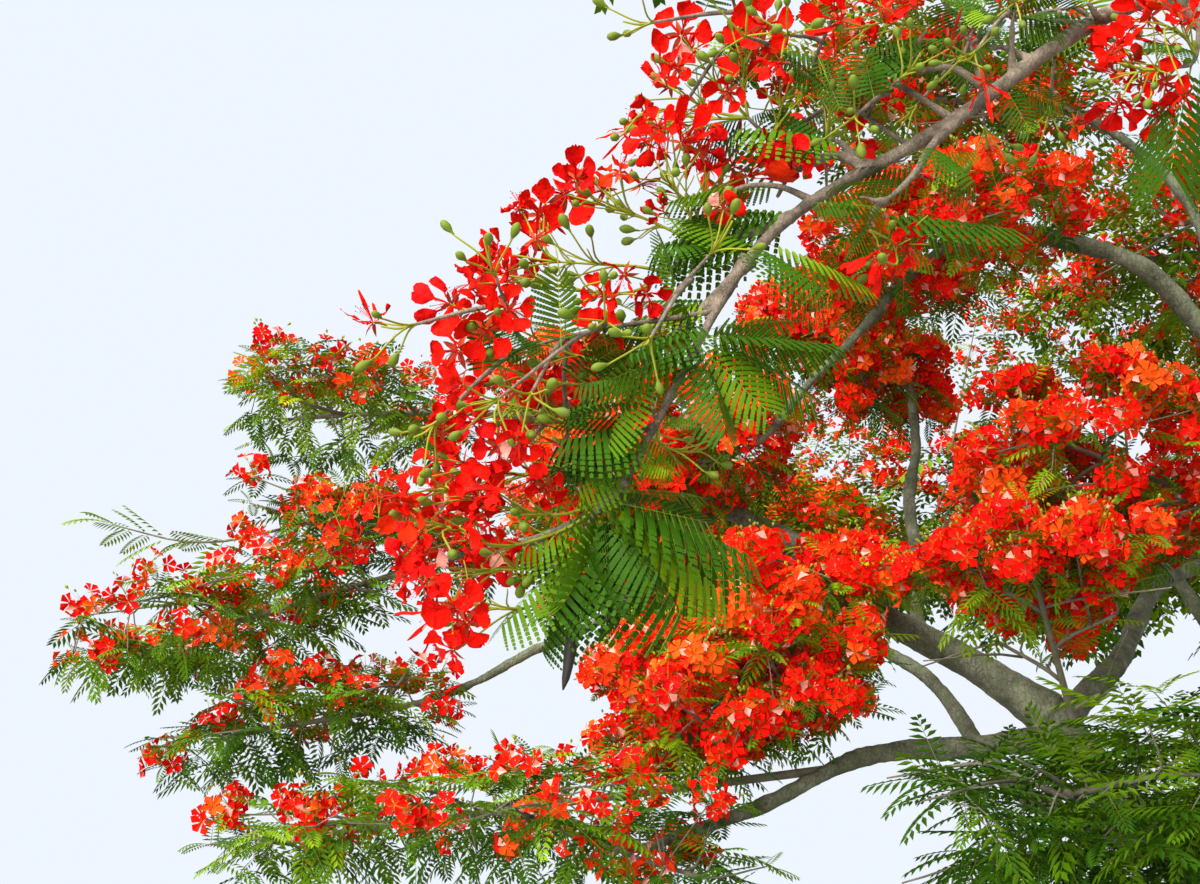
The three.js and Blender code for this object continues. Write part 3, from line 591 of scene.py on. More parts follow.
def between(low, high, *keys):
    return lerp(low, high, chance(*keys))


def direction(heading, rise):
    heading, rise = np.radians(heading), np.radians(rise)
    flat = np.cos(rise)
    return np.stack([flat * np.cos(heading), flat * np.sin(heading), np.sin(rise)], axis=-1)


def unit(vectors):
    return vectors / np.maximum(np.linalg.norm(vectors, axis=-1, keepdims=True), 1e-12)


def heading_of(vector):
    return math.degrees(math.atan2(vector[1], vector[0]))


def bezier(corners, shares):
    t = np.asarray(shares, float)[..., None]
    a, b, c, d = corners
    return a * (1 - t) ** 3 + 3 * b * t * (1 - t) ** 2 + 3 * c * t * t * (1 - t) + d * t**3


class Line:
    """A curve with radii, read at shares of its length."""

    def __init__(self, corners, radii, taper=1.0):
        self.corners = corners
        self.radii = radii
        self.taper = taper

    def points(self, shares):
        return bezier(self.corners, shares)

    def point(self, share):
        return self.points(np.array([share]))[0]

    def tangents(self, shares):
        shares = np.asarray(shares, float)
        early, late = np.clip(shares - 1e-4, 0, 1), np.clip(shares + 1e-4, 0, 1)
        return unit(self.points(late) - self.points(early))

    def tangent(self, share):
        return self.tangents(np.array([share]))[0]

    def radius(self, shares):
        return lerp(*self.radii, np.asarray(shares, float) ** self.taper)

    def length(self):
        points = self.points(np.linspace(0, 1, 201))
        return float(np.linalg.norm(np.diff(points, axis=0), axis=1).sum())


class LimbLine(Line):
    """A limb's middle line wanders a little from its curve, and lies on it at both ends."""

    def __init__(self, start, row, index):
        tip = direction(row.tip[0], 0) * row.tip[1] + np.array([0, 0, row.tip[2]])
        across = tip - start
        span = np.linalg.norm(across)
        out = heading_of(across)
        first = start + direction(out + row.turn, row.rise) * span * LIMB_PULL
        last = tip - direction(out + row.hook, row.fall) * span * LIMB_PULL
        super().__init__((start, first, last, tip), row.radii, LIMB_TAPER)
        self.side = unit(np.cross(across, (0, 0, 1)))
        self.lift = unit(np.cross(self.side, across))
        self.sway = span * WANDER
        self.phases = (chance(index, 1) * 2 * math.pi, chance(index, 2) * 2 * math.pi)

    def points(self, shares):
        shares = np.asarray(shares, float)
        swell = np.sin(math.pi * shares) * self.sway
        turns = 3 * math.pi * shares
        sideways = (swell * np.sin(turns + self.phases[0]))[:, None] * self.side
        upward = (swell * np.sin(turns + self.phases[1]))[:, None] * self.lift
        return super().points(shares) + sideways + upward


def grow_limbs():
    foot, top = np.zeros(3), np.array([*TRUNK_TOP, TRUNK_HEIGHT])
    corners = (foot, lerp(foot, top, 1 / 3), lerp(foot, top, 2 / 3), top)
    lines = {"trunk": Line(corners, TRUNK_RADII)}
    for index, row in enumerate(LIMBS):
        lines[row.name] = LimbLine(lines[row.parent].point(row.at), row, index)
    return lines


LINES = grow_limbs()


def sample_limbs():
    points, radii = [], []
    for line in LINES.values():
        count = math.ceil(line.length() / LIMB_SAMPLE)
        shares = np.linspace(0, 1, count + 1)
        points.append(line.points(shares))
        radii.append(line.radius(shares) + LIMB_CLEARANCE)
    return np.concatenate(points), np.concatenate(radii)


LIMB_POINTS, LIMB_REACHES = sample_limbs()


def clear_of_limbs(start, end, half):
    way = end - start
    length = way @ way
    along = np.clip(((LIMB_POINTS - start) @ way) / max(length, 1e-12), 0, 1)
    gaps = np.linalg.norm(start + along[:, None] * way - LIMB_POINTS, axis=1)
    return bool((gaps > np.hypot(LIMB_REACHES + half, LIMB_SAMPLE / 2)).all())


class Space:
    """The egg of one mass, with the flat walls that part it from its neighbours."""

    def __init__(self, row):
        self.row = row
        self.index = MASSES.index(row)
        self.limb = LINES[row.limb]
        self.at = 1 if row.at is None else row.at
        self.start = self.limb.point(self.at)
        along = direction(row.heading, row.rise)
        across = direction(row.heading + 90, 0)
        self.axes = np.array([along, across, np.cross(along, across)])
        self.half = np.array(row.half)
        self.middle = self.start + along * row.half[0] * row.lead
        self.walls = []

    def share(self, points):
        return np.linalg.norm(((points - self.middle) @ self.axes.T) / self.half, axis=-1)

    def holds(self, point):
        return self.share(point) < 1 and all(point @ way < limit for way, limit in self.walls)

    def reach(self, way):
        return 1 / np.linalg.norm((self.axes @ way) / self.half)

    def spot(self, x, y, z):
        return self.middle + (np.array([x, y, z]) * self.half) @ self.axes


def make_spaces():
    spaces = [Space(row) for row in MASSES]
    for one in spaces:
        for other in spaces:
            if one is other:
                continue
            way = other.middle - one.middle
            apart = np.linalg.norm(way)
            way = way / apart
            mine, theirs = one.reach(way), other.reach(way)
            if mine + theirs < apart:
                continue
            limit = one.middle @ way + apart * mine / (mine + theirs) - SPACE_MARGIN
            one.walls.append((way, limit))
    return {space.row.name: space for space in spaces}


SPACES = make_spaces()

Twig = namedtuple("Twig", "points radii")


def bowed(start, end, bow, radii, steps):
    """A twig from start to end that leaves along bow and straightens out."""
    span = np.linalg.norm(end - start)
    lead, ease = BOW_CORNERS
    corners = (start, start + bow * span * lead, lerp(start, end, ease), end)
    shares = np.linspace(0, 1, steps + 1)
    return Twig(bezier(corners, shares), lerp(*radii, shares))


def main_twigs(space):
    """The stem, twigs and spray lines of a mass, as its solids have them."""
    row, index = space.row, space.index
    foot = min(float(space.limb.radius(space.at)) * STEM_SHARE, row.spray * STEM_THICKNESS)
    twig_radius = row.spray * TWIG_THICKNESS
    set_out = space.axes[0] if row.at is not None else space.limb.tangent(1)
    stem = Line((space.start, space.start + set_out * row.half[0] * STEM_LEAD,
                 space.spot(*STEM_BEND), space.spot(STEM_END, 0, 0)), (foot, twig_radius))
    shares = np.linspace(0, 1, 10)
    twigs = [Twig(stem.points(shares), stem.radius(shares))]
    grown = 1

    def spray(root, heading, rise):
        """Adds the longest spray that the space holds, and says how many were added."""
        way = direction(heading, rise)
        side = direction(heading + 90, 0)
        sink = twig_radius * ROOT_DEPTH
        for size in SPRAY_SIZES:
            length = row.spray * size
            half = length * SPRAY_WIDTH / 2
            tip = root + way * (length - sink)
            waist = root + way * (length / 2 - sink)
            corners = (tip, waist + side * half, waist - side * half)
            held = all(space.holds(corner) for corner in corners)
            if held and clear_of_limbs(root + way * length * SPRAY_CLEAR_FROM, tip, half / 2):
                aside, lift = SPRAY_BEND
                bend = direction(heading + aside * (chance(index, grown, 61) - 0.5), rise + lift)
                radii = (twig_radius * SPRAY_RADII[0], SPRAY_RADII[1])
                twigs.append(bowed(root, tip, bend, radii, TWIG_STEPS))
                return 1
        return 0

    for k in range(row.twigs):
        side = 1 if k % 2 == 0 else -1
        step = k / (row.twigs - 1)
        root = stem.point(lerp(*TWIG_ROOTS, step))
        x = lerp(*TWIG_PLACES, step) + between(-TWIG_JITTER, TWIG_JITTER, index, k, 3)
        y = side * math.sqrt(1 - x * x) * between(*TWIG_REACH, index, k, 4)
        tip = space.spot(x, y, between(*TWIG_LIFT, index, k, 5))
        clear_from = lerp(root, tip, TWIG_CLEAR_FROM)
        if not space.holds(tip) or not clear_of_limbs(clear_from, tip, twig_radius):
            continue
        run = unit(tip - root)
        bend = unit(run + stem.tangent(lerp(*TWIG_ROOTS, step)) * TWIG_FOLLOW)
        twigs.append(bowed(root, tip, bend, (twig_radius, twig_radius * TWIG_TAPER), TWIG_STEPS))
        grown += 1
        out = heading_of(run)
        if row.bloom is not None and k % 2 == (0 if row.red else 1):
            grown += 1
        else:
            turn = side * between(*END_TURN, index, k, 6)
            grown += spray(lerp(root, tip, END_AT), out + turn,
                           between(*row.slope, index, k, 7 + grown))
        turn = side * between(*SIDE_TURN, index, k, 8)
        grown += spray(lerp(root, tip, SIDE_AT), out - turn,
                       between(*row.slope, index, k, 7 + grown))
    out = heading_of(stem.tangent(1))
    for number, (at, turn) in enumerate(STEM_SPRAYS, 1):
        spray(stem.point(at), out + turn, between(*row.slope, index, 40, number))
    return twigs


# What a section grows: its twigs; its leaves, each a root, way, size and light; and its heads,
# each a base, way, number of flowers, pick of red and size against the usual
Growth = namedtuple("Growth", "twigs leaves heads")


def rosette(space, growth, tip, way, key, light):
    """Feathery leaves set round the end of one sprig, each cut short at the edge of its space."""
    row, index = space.row, space.index
    count = int(between(*row.rosette, index, key, 11))
    spin = chance(index, key, 12) * 2 * math.pi
    turns = spin + GOLDEN * np.arange(count)
    rises = np.array([between(*LEAF_RISES, index, key, 13, i) for i in range(count)])
    ways = unit(direction(np.degrees(turns), rises) + way * LEAF_FORWARD)
    sizes = np.array([between(*LEAF_SIZES, index, key, 14, i) for i in range(count)]) * row.leaf
    roots = tip - way * (ROSETTE_DEPTH * row.leaf * np.arange(count) / count)[:, None]
    for _ in range(3):
        over = space.share(roots + ways * sizes[:, None]) > LEAF_EDGE
        sizes = np.where(over, sizes * LEAF_CUT, sizes)
    for i in np.flatnonzero(sizes > LEAST_LEAF * row.leaf):
        growth.leaves.append((roots[i], ways[i], sizes[i], light))


def stands_open(place):
    """Whether a place shows where the crown stands open, before bare boughs or the sky."""
    spot = np.array(shown(place[None]))[:, 0]
    for start, end, margin in OPENINGS:
        run = np.subtract(end, start)
        share = np.clip((spot - start) @ run / (run @ run), 0, 1)
        if np.linalg.norm(spot - start - run * share) < margin:
            return True
    return False


def grow_mass(space, growth):
    """Carries one mass on to fine sprigs, which fill its space evenly.

    They end in leaves and blossom."""
    row, index = space.row, space.index
    twigs = main_twigs(space)
    growth.twigs.extend(twigs)
    spots = np.concatenate([twig.points[1:] for twig in twigs])
    runs = np.concatenate([unit(np.diff(twig.points, axis=0)) for twig in twigs])
    girths = np.concatenate([twig.radii[1:] for twig in twigs])
    count = round(row.sprigs * math.pi * row.half[0] * row.half[1])
    spin = chance(index, 50) * 2 * math.pi
    tips = [(twig.points[-1], unit(twig.points[-1] - twig.points[-2])) for twig in twigs[1:]]
    for j in range(count):
        turn = spin + GOLDEN * j
        lobe = 1 - LOBE_DEPTH * row.half[0] * (0.5 + 0.5 * math.sin(LOBES * turn + index))
        spread = math.sqrt((j + 0.5) / count) * SPRIG_EDGE * lobe
        lift = math.sqrt(1 - spread**2) * between(*SPRIG_LIFT, index, j, 51)
        tip = space.spot(spread * math.cos(turn), spread * math.sin(turn), lift)
        if not space.holds(tip) or not clear_of_limbs(tip, tip, SPRIG_CLEARANCE):
            continue
        offsets = tip - spots
        gaps = np.linalg.norm(offsets, axis=1)
        facing = (offsets * runs).sum(axis=1) / np.maximum(gaps, 1e-6)
        nearest = int(np.argmin(gaps * (1 + SPRIG_FOLLOW - SPRIG_FOLLOW * facing)))
        girth = min(girths[nearest] * TWIG_TAPER, SPRIG_BASE + SPRIG_GROWTH * gaps[nearest])
        sprig = bowed(spots[nearest], tip, unit(runs[nearest] + offsets[nearest] * SPRIG_TURN),
                      (girth, SPRIG_TIP), SPRIG_STEPS)
        tips.append((tip, unit(sprig.points[-1] - sprig.points[-2])))
        if not stands_open(tip):
            growth.twigs.append(sprig)
    for key, (tip, way) in enumerate(tips):
        if stands_open(tip):
            continue
        height = float(((tip - space.middle) @ space.axes[2]) / space.half[2])
        light = between(*SPRIG_LIGHT, index, key, 15) + HEIGHT_LIGHT * height + 0.5 - row.shade
        rosette(space, growth, tip, way, key, light)
        if row.bloom is None:
            continue
        low, high = BLOOM_HEIGHTS
        share = 1 if row.red else BLOOM_BASE + BLOOM_RISE * min(max(height, low), high)
        if chance(index, key, 16) < row.bloom * share:
            rise = unit(way * HEAD_FORWARD + UP * HEAD_UP)
            number = round(row.flowers * between(*HEAD_FLOWERS, index, key, 17))
            growth.heads.append((tip, rise, number, chance(index, key, 18), row.open))


class Heap:
    """Gathers many small pieces as arrays and makes one mesh of them."""

    def __init__(self):
        self.points, self.faces, self.finishes, self.count = [], [], [], 0

    def add(self, points, faces, finishes):
        points = np.asarray(points, np.float32).reshape(-1, 3)
        faces = np.asarray(faces, np.int32)
        self.points.append(points)
        self.faces.append(faces + self.count)
        self.finishes.append(np.broadcast_to(np.asarray(finishes, np.int32), (len(faces),)))
        self.count += len(points)

    def build(self, name, materials, smooth=False):
        points = np.concatenate(self.points)
        widths = np.concatenate([np.full(len(f), f.shape[1], np.int32) for f in self.faces])
        corners = np.concatenate([f.ravel() for f in self.faces])
        finishes = np.concatenate(self.finishes)
        mesh = bpy.data.meshes.new(name)
        mesh.vertices.add(len(points))
        mesh.vertices.foreach_set("co", points.ravel())
        mesh.loops.add(len(corners))
        mesh.loops.foreach_set("vertex_index", corners)
        mesh.polygons.add(len(widths))
        mesh.polygons.foreach_set("loop_start", np.concatenate([[0], np.cumsum(widths)[:-1]]))
        mesh.polygons.foreach_set("material_index", finishes)
        mesh.polygons.foreach_set("use_smooth", np.full(len(widths), smooth))
        for material in materials:
            mesh.materials.append(material)
        mesh.update(calc_edges=True)
        piece = bpy.data.objects.new(name, mesh)
        bpy.context.scene.collection.objects.link(piece)
        return piece


def add_rods(heap, twigs, sides, finish=0):
    """Closed tapering rods along twigs that all have the same number of points."""
    if not twigs:
        return
    points = np.array([twig.points for twig in twigs])
    radii = np.array([twig.radii for twig in twigs])
    number, rings = points.shape[:2]
    runs = unit(np.gradient(points, axis=1))
    chord = unit(points[:, -1] - points[:, 0])
    hint = np.where(np.abs(chord[:, 2:3]) > 0.8, (1.0, 0, 0), (0, 0, 1.0))[:, None, :]
    across = unit(np.cross(runs, hint))
    other = np.cross(runs, across)
    turns = 2 * math.pi * np.arange(sides) / sides
    rim = across[:, :, None] * np.cos(turns)[:, None] + other[:, :, None] * np.sin(turns)[:, None]
    shell = points[:, :, None] + rim * radii[:, :, None, None]
    place = np.arange(number * rings * sides).reshape(number, rings, sides)
    after = np.roll(place, -1, axis=2)
    quads = np.stack([place[:, :-1], after[:, :-1], after[:, 1:], place[:, 1:]], axis=-1)
    heap.add(shell.reshape(-1, 3), quads.reshape(-1, 4), finish)
    start = heap.count - number * rings * sides
    caps = np.concatenate([place[:, 0, ::-1], place[:, -1]])
    heap.faces.append(caps.astype(np.int32) + start)
    heap.finishes.append(np.full(len(caps), finish, np.int32))


Shape = namedtuple("Shape", "points faces finishes")
BLADE = ((0, 1, 2), (0, 2, 3))
TURNED_BLADE = ((0, 3, 2), (0, 2, 1))
PYRAMID = ((0, 1, 2), (0, 2, 3), (0, 3, 1), (1, 3, 2))


class Sketch:
    """Points and triangles of one small shape while it is drawn."""

    def __init__(self):
        self.points, self.faces, self.finishes = [], [], []

    def add(self, points, faces, finish=DEALT):
        first = len(self.points)
        self.points.extend(points)
        self.faces.extend([first + corner for corner in face] for face in faces)
        self.finishes.extend([finish] * len(faces))

    def shape(self):
        return Shape(np.array(self.points, float), np.array(self.faces), np.array(self.finishes))


def grid_faces(high, wide):
    """Triangles across rows of points."""
    faces = []
    for row in range(high - 1):
        for a in range(row * wide, (row + 1) * wide - 1):
            faces.extend([(a, a + 1, a + wide + 1), (a, a + wide + 1, a + wide)])
    return faces


def spoke(turn):
    """The way out from the X axis at a turn about it, and the way across that."""
    return (np.array([0, math.cos(turn), math.sin(turn)]),
            np.array([0, -math.sin(turn), math.cos(turn)]))


def plant(heap, shape, roots, alongs, ups, sizes, finishes, droops=0.0, folds=0.0):
    """Sets copies of a small shape. Its X lies along alongs, and it droops and folds as given."""
    alongs = unit(np.asarray(alongs, float))
    sides = unit(np.cross(ups, alongs))
    tops = np.cross(alongs, sides)
    sizes = np.asarray(sizes, float)[:, None]
    x, y, z = (shape.points[None, :, axis] * sizes for axis in range(3))
    finishes, droops, folds = (np.broadcast_to(value, (len(sizes),))[:, None]
                               for value in (finishes, droops, folds))
    z = z - droops * x * np.abs(x) / np.maximum(sizes, 1e-9) + folds * np.abs(y)
    points = (roots[:, None] + x[..., None] * alongs[:, None] + y[..., None] * sides[:, None]
              + z[..., None] * tops[:, None])
    offsets = np.arange(len(sizes))[:, None, None] * len(shape.points)
    faces = (shape.faces[None] + offsets).reshape(-1, shape.faces.shape[1])
    finishes = np.where(shape.finishes == DEALT, finishes, shape.finishes)
    heap.add(points.reshape(-1, 3), faces, finishes.ravel())


def leaf_shape(pairs, width=0.062, spread=0.25, ribs=0.012):
    """A feathery leaf of length 1: pairs of narrow blades on a rib, of two triangles each."""
    sketch = Sketch()
    sketch.add([(0, ribs / 2, 0), (0, -ribs / 2, 0), (0.98, -ribs / 5, 0), (0.98, ribs / 5, 0)],
               BLADE, RIB)
    for pair in range(pairs):
        share = pair / (pairs - 1)
        foot = lerp(0.13, 0.95, share)
        reach = spread * math.sin(math.pi * lerp(0.2, 0.9, share)) ** 0.6
        lean = math.radians(lerp(72, 34, share))
        for side in (1, -1):
            way = np.array([math.cos(lean), side * math.sin(lean), 0])
            across = np.array([-way[1], way[0], 0]) * width / 2 * side
            base = np.array([foot + 0.012 * side, 0, 0])
            waist = base + way * reach * 0.5
            sag = np.array([0, 0, -0.18 * reach])
            sketch.add([base, waist - across, base + way * reach + sag, waist + across],
                       BLADE if side > 0 else TURNED_BLADE)
    return sketch.shape()


def flower_shape(cup, flop, pale):
    """An open flower of radius 1 that faces along X: five petals, one maybe pale, and sepals."""
    sketch = Sketch()
    ahead = np.array([1.0, 0, 0])
    for petal in range(5):
        turn = 2 * math.pi * petal / 5
        out, across = spoke(turn)
        bend = flop * (0.5 + 0.5 * math.cos(2.3 * petal + 0.7))
        shoulder = out * 0.66 + ahead * (cup * 0.75)
        sketch.add([out * 0.04, shoulder - across * 0.37 + ahead * 0.1,
                    out * 1.02 + ahead * (cup - bend), shoulder + across * 0.37 + ahead * 0.1],
                   BLADE, PALE if pale and petal == 0 else DEALT)
        out, across = spoke(turn + 0.63)
        sketch.add([ahead * -0.12, out * 0.42 + across * 0.1 - ahead * 0.1,
                    out * 0.5 - across * 0.1 - ahead * 0.16], [(0, 2, 1)], FLOWER_STALK)
    return sketch.shape()


def bud_shape():
    """A bud of length 1 along X, fatter towards its end."""
    ring = [0.3 * spoke(side * math.pi / 2)[0] + (0.6, 0, 0) for side in range(4)]
    faces = []
    for side in range(4):
        here, after = 1 + side, 1 + (side + 1) % 4
        faces.extend([(0, after, here), (5, here, after)])
    sketch = Sketch()
    sketch.add([(0, 0, 0), *ring, (1, 0, 0)], faces)
    return sketch.shape()


def stalk_shape():
    """A flower stalk of length 1 along X, as a thin strip folded once."""
    sketch = Sketch()
    sketch.add([(0, 0.018, 0), (0, -0.018, 0), (1, 0, 0.012), (1, 0, -0.012)],
               [(0, 1, 2), (0, 3, 1)])
    return sketch.shape()


def frond_shape(pinnae, leaflets, reach, lean, sag):
    """A near leaf of length 1: pairs of side ribs, each with two rows of small blades."""
    sketch = Sketch()

    def strip(start, end, width):
        aside = unit(np.cross(end - start, (0, 0, 1))) * width / 2
        sketch.add([start + aside, start - aside, end - aside * 0.4, end + aside * 0.4], BLADE, RIB)

    strip(np.zeros(3), np.array([0.98, 0, 0]), 0.014)
    for pair in range(pinnae):
        share = pair / (pinnae - 1)
        foot = np.array([lerp(0.14, 0.97, share), 0, 0])
        length = reach * math.sin(math.pi * lerp(0.24, 0.86, share)) ** 0.7
        angle = math.radians(lerp(lean + 12, lean - 22, share))
        for side in (1, -1):
            way = np.array([math.cos(angle), side * math.sin(angle), 0])
            beside = np.array([-way[1], way[0], 0])
            end = foot + way * length + np.array([0, 0, -sag * length])
            strip(foot, end, 0.006)
            broad = (end - foot) / leaflets
            for step in range(leaflets):
                along = (step + 0.6) / leaflets
                base = lerp(foot, end, along) + np.array([0, 0, -sag * length * (along**2 - along)])
                span = length * LEAFLET_SPAN * (1 - 0.45 * abs(2 * along - 1) ** 3)
                for hand in (1, -1):
                    out = unit(beside * hand + way * 0.2 + np.array([0, 0, -0.14])) * span
                    sketch.add([base - broad * 0.52, base + out - broad * 0.46,
                                base + out + broad * 0.42, base + broad * 0.52],
                               BLADE if hand > 0 else TURNED_BLADE)
    return sketch.shape()


def near_flower(seed, cup, curl, pale=False, spent=False):
    """A near flower of radius 1 that faces along X: clawed, crinkled petals, sepals and stamens.

    The petals of a spent one have shrivelled."""
    rng = np.random.default_rng(seed)
    sketch = Sketch()
    ahead = np.array([1.0, 0, 0])
    halves, columns = PETAL_HALVES, np.linspace(-1, 1, 6)
    if spent:
        halves = halves * SPENT_HALVES
        columns = columns[::2]
    for petal in range(5):
        turn = 2 * math.pi * (petal + rng.uniform(-0.12, 0.12)) / 5
        out, across = spoke(turn)
        lift = cup + rng.uniform(-0.25, 0.3)
        bend = curl + rng.uniform(-0.5, 0.5)
        twist = rng.uniform(-0.35, 0.35)
        scale = rng.uniform(0.88, 1.06) * (0.9 if petal == 0 else 1)
        phases = rng.uniform(0, 6.28, 3)
        points = []
        for u, half in zip(PETAL_ROWS, halves):
            rise = lift * u + bend * 0.5 * u * u
            for v in columns:
                wave = 0.12 * abs(v) ** 1.5 * math.sin(12 * u + 3 * v + phases[0])
                wave += 0.045 * math.sin(5 * v + 7 * u + phases[1]) * (u > 0.45)
                dip = 0.45 * half * (v * v - 0.4) + twist * half * v * (u > 0.45)
                stretch = 1 - 0.07 * abs(v) + 0.045 * math.sin(8 * v + phases[2])
                points.append(out * (0.05 + 0.95 * u * stretch) * scale + across * half * v * scale
                              + ahead * (rise + wave + dip))
        sketch.add(points, grid_faces(len(PETAL_ROWS), len(columns)),
                   PALE if pale and petal == 0 else DEALT)
        out, across = spoke(turn + 0.63)
        points = []
        for u, half in ((0, 0.05), (0.35, 0.085), (0.7, 0.06), (1, 0.01)):
            fall = (0.34 if spent else 0.16) * u * u + 0.06
            for v in (-1, 1):
                points.append(out * (0.04 + 0.5 * u) + across * half * v - ahead * fall)
        sketch.add(points, grid_faces(4, 2), SEPAL)
    for stamen in range(8):
        turn = 2 * math.pi * stamen / 8 + rng.uniform(-0.3, 0.3)
        spread = rng.uniform(0.12, 0.34)
        reach = rng.uniform(0.55, 0.85)
        out, across = spoke(turn)
        points = []
        for u in (0, 0.5, 1):
            spot = out * spread * u * (0.4 + 0.6 * u) + np.array([reach * u, 0, 0.22 * u * u])
            points.extend([spot - across * 0.012, spot + across * 0.012])
        sketch.add(points, grid_faces(3, 2), STAMEN)
        corners = ((-0.01, 0.03, 0), (-0.01, -0.03, 0.01), (0.05, 0, 0.01), (0.01, 0, 0.045))
        sketch.add([points[-1] + corner for corner in corners], PYRAMID, ANTHER)
    return sketch.shape()


def round_bud():
    """A near bud of length 1 along X, egg-shaped on a narrow neck."""
    sides = 8
    profile = ((0.0, 0.035), (0.2, 0.06), (0.38, 0.15), (0.58, 0.225), (0.78, 0.21), (0.93, 0.12))
    points = [radius * spoke(2 * math.pi * side / sides)[0] + (x, 0, 0)
              for x, radius in profile for side in range(sides)]
    foot, tip, last = len(points), len(points) + 1, (len(profile) - 1) * sides
    faces = []
    for side in range(sides):
        after = (side + 1) % sides
        for ring in range(0, last, sides):
            a, b = ring + side, ring + after
            faces.extend([(a, b, b + sides), (a, b + sides, a + sides)])
        faces.extend([(foot, after, side), (tip, last + side, last + after)])
    sketch = Sketch()
    sketch.add([*points, (0, 0, 0), (1, 0, 0)], faces)
    return sketch.shape()


LEAF = leaf_shape(9)
FAR_LEAF = leaf_shape(6, width=0.095)
FRONDS = (frond_shape(13, 10, 0.36, 70, 0.35), frond_shape(12, 10, 0.42, 74, 0.6),
          frond_shape(14, 9, 0.31, 62, 0.15))
NEAR_FLOWERS = tuple(near_flower(*row) for row in (
    (1, 0.2, -0.1, True), (2, 0.5, 0.2), (3, 0.1, -0.5), (4, 0.8, 0.4), (5, 0.2, 0.6),
    (6, 1.0, 0.1), (7, -0.2, -0.3), (8, 0.5, -0.6), (9, 1.3, 0.3), (10, 0.7, -0.7)))
SPENT_FLOWERS = tuple(near_flower(*row) for row in (
    (13, 0.9, 0.9, False, True), (14, 0.3, 0.8, False, True), (15, 1.2, 0.2, False, True)))
OPEN_FLOWERS = tuple(near_flower(*row) for row in (
    (11, 0.15, -0.2, True), (12, 0.25, 0.1), (16, 0.1, -0.4)))
ROUND_BUD = round_bud()
FLOWERS = (flower_shape(0.1, 0.45, True), flower_shape(0.4, 0.2, False),
           flower_shape(-0.15, 0.5, False))
BUD = bud_shape()
STALK = stalk_shape()


def any_across(ways, spins=0.0):
    """A direction square to each way, turned about it by spins."""
    hint = np.where(np.abs(ways[:, 2:3]) > 0.9, (1.0, 0, 0), (0, 0, 1.0))
    first = unit(np.cross(ways, hint))
    second = np.cross(ways, first)
    spins = np.broadcast_to(spins, (len(ways),))[:, None]
    return first * np.cos(spins) + second * np.sin(spins)


def one_across(way, spin=0.0):
    return any_across(way[None], spin)[0]


def columns_of(rows):
    return (np.array(column) for column in zip(*rows))


def dress_leaves(heap, leaves, shape, rng):
    """Leaves of one section. Their greens are dealt out by sprig, lighter where light reaches."""
    number = len(leaves)
    roots, ways, sizes, lights = columns_of(leaves)
    lights = lights + rng.uniform(*LEAF_LIGHT, number)
    ups = unit(UP + rng.normal(0, LEAF_TILT, (number, 3)))
    steps = np.floor(lights * GREEN_STEPS + GREEN_START)
    greens = FIRST_DEALT + np.clip(steps, 0, len(GREENS) - 1).astype(int)
    plant(heap, shape, roots, ways, ups, sizes, greens, rng.uniform(*LEAF_DROOPS, number),
          rng.uniform(*LEAF_FOLDS, number))


def dress_stalks(heap, feet, tips):
    stems = tips - feet
    plant(heap, STALK, feet, stems, any_across(unit(stems)), np.linalg.norm(stems, axis=1),
          FLOWER_STALK)


def dress_heads(heap, heads, size, rng):
    """Flowers, buds and stalks of the heads of one section. Their reds are dealt out by head."""
    flowers, buds = [], []
    for base, rise, number, pick, wider in heads:
        span = size * wider
        around = one_across(rise)
        beside = np.cross(rise, around)
        turns = rng.uniform(0, 2 * math.pi) + GOLDEN * np.arange(number)
        tilts = np.radians(lerp(*FLOWER_TILTS, np.sqrt((np.arange(number) + 0.5) / number)))
        ways = (rise * np.cos(tilts)[:, None] + (around * np.cos(turns)[:, None]
                + beside * np.sin(turns)[:, None]) * np.sin(tilts)[:, None])
        reach = span * rng.uniform(*FLOWER_REACH, number)
        seats = base + rise * span * FLOWER_LIFT + ways * reach[:, None]
        faces = unit(ways + rng.normal(0, FLOWER_TURN, (number, 3)))
        feet = np.repeat((base + rise * size * FLOWER_FOOT)[None], number, axis=0)
        main = int(np.searchsorted(RED_SHARES, pick))
        other = (main + rng.integers(0, len(REDS), number)) % len(REDS)
        reds = np.where(rng.random(number) < HEAD_RED_SHARE, main, other)
        flowers.append((seats, faces, feet, reds, np.full(number, span)))
        count = max(2, number // 2)
        leans = unit(rise + rng.normal(0, BUD_LEAN, (count, 3)))
        feet = np.repeat((base + rise * size * BUD_FOOT)[None], count, axis=0)
        reach = size * rng.uniform(*BUD_REACH, count)
        buds.append((feet + leans * reach[:, None], leans, feet))
    seats, faces, feet, reds, spans = (np.concatenate(column) for column in zip(*flowers))
    sizes = spans * rng.uniform(*FLOWER_SIZES, len(seats))
    kinds = rng.integers(0, len(FLOWERS), len(seats))
    for kind, shape in enumerate(FLOWERS):
        chosen = kinds == kind
        plant(heap, shape, seats[chosen], faces[chosen],
              any_across(faces[chosen], rng.uniform(0, 6.28, chosen.sum())),
              sizes[chosen], FIRST_DEALT + reds[chosen])
    dress_stalks(heap, feet, seats)
    seats, leans, feet = (np.concatenate(column) for column in zip(*buds))
    plant(heap, BUD, seats, leans, any_across(leans), size * rng.uniform(*BUD_SIZES, len(seats)),
          FLOWER_STALK)
    dress_stalks(heap, feet, seats)


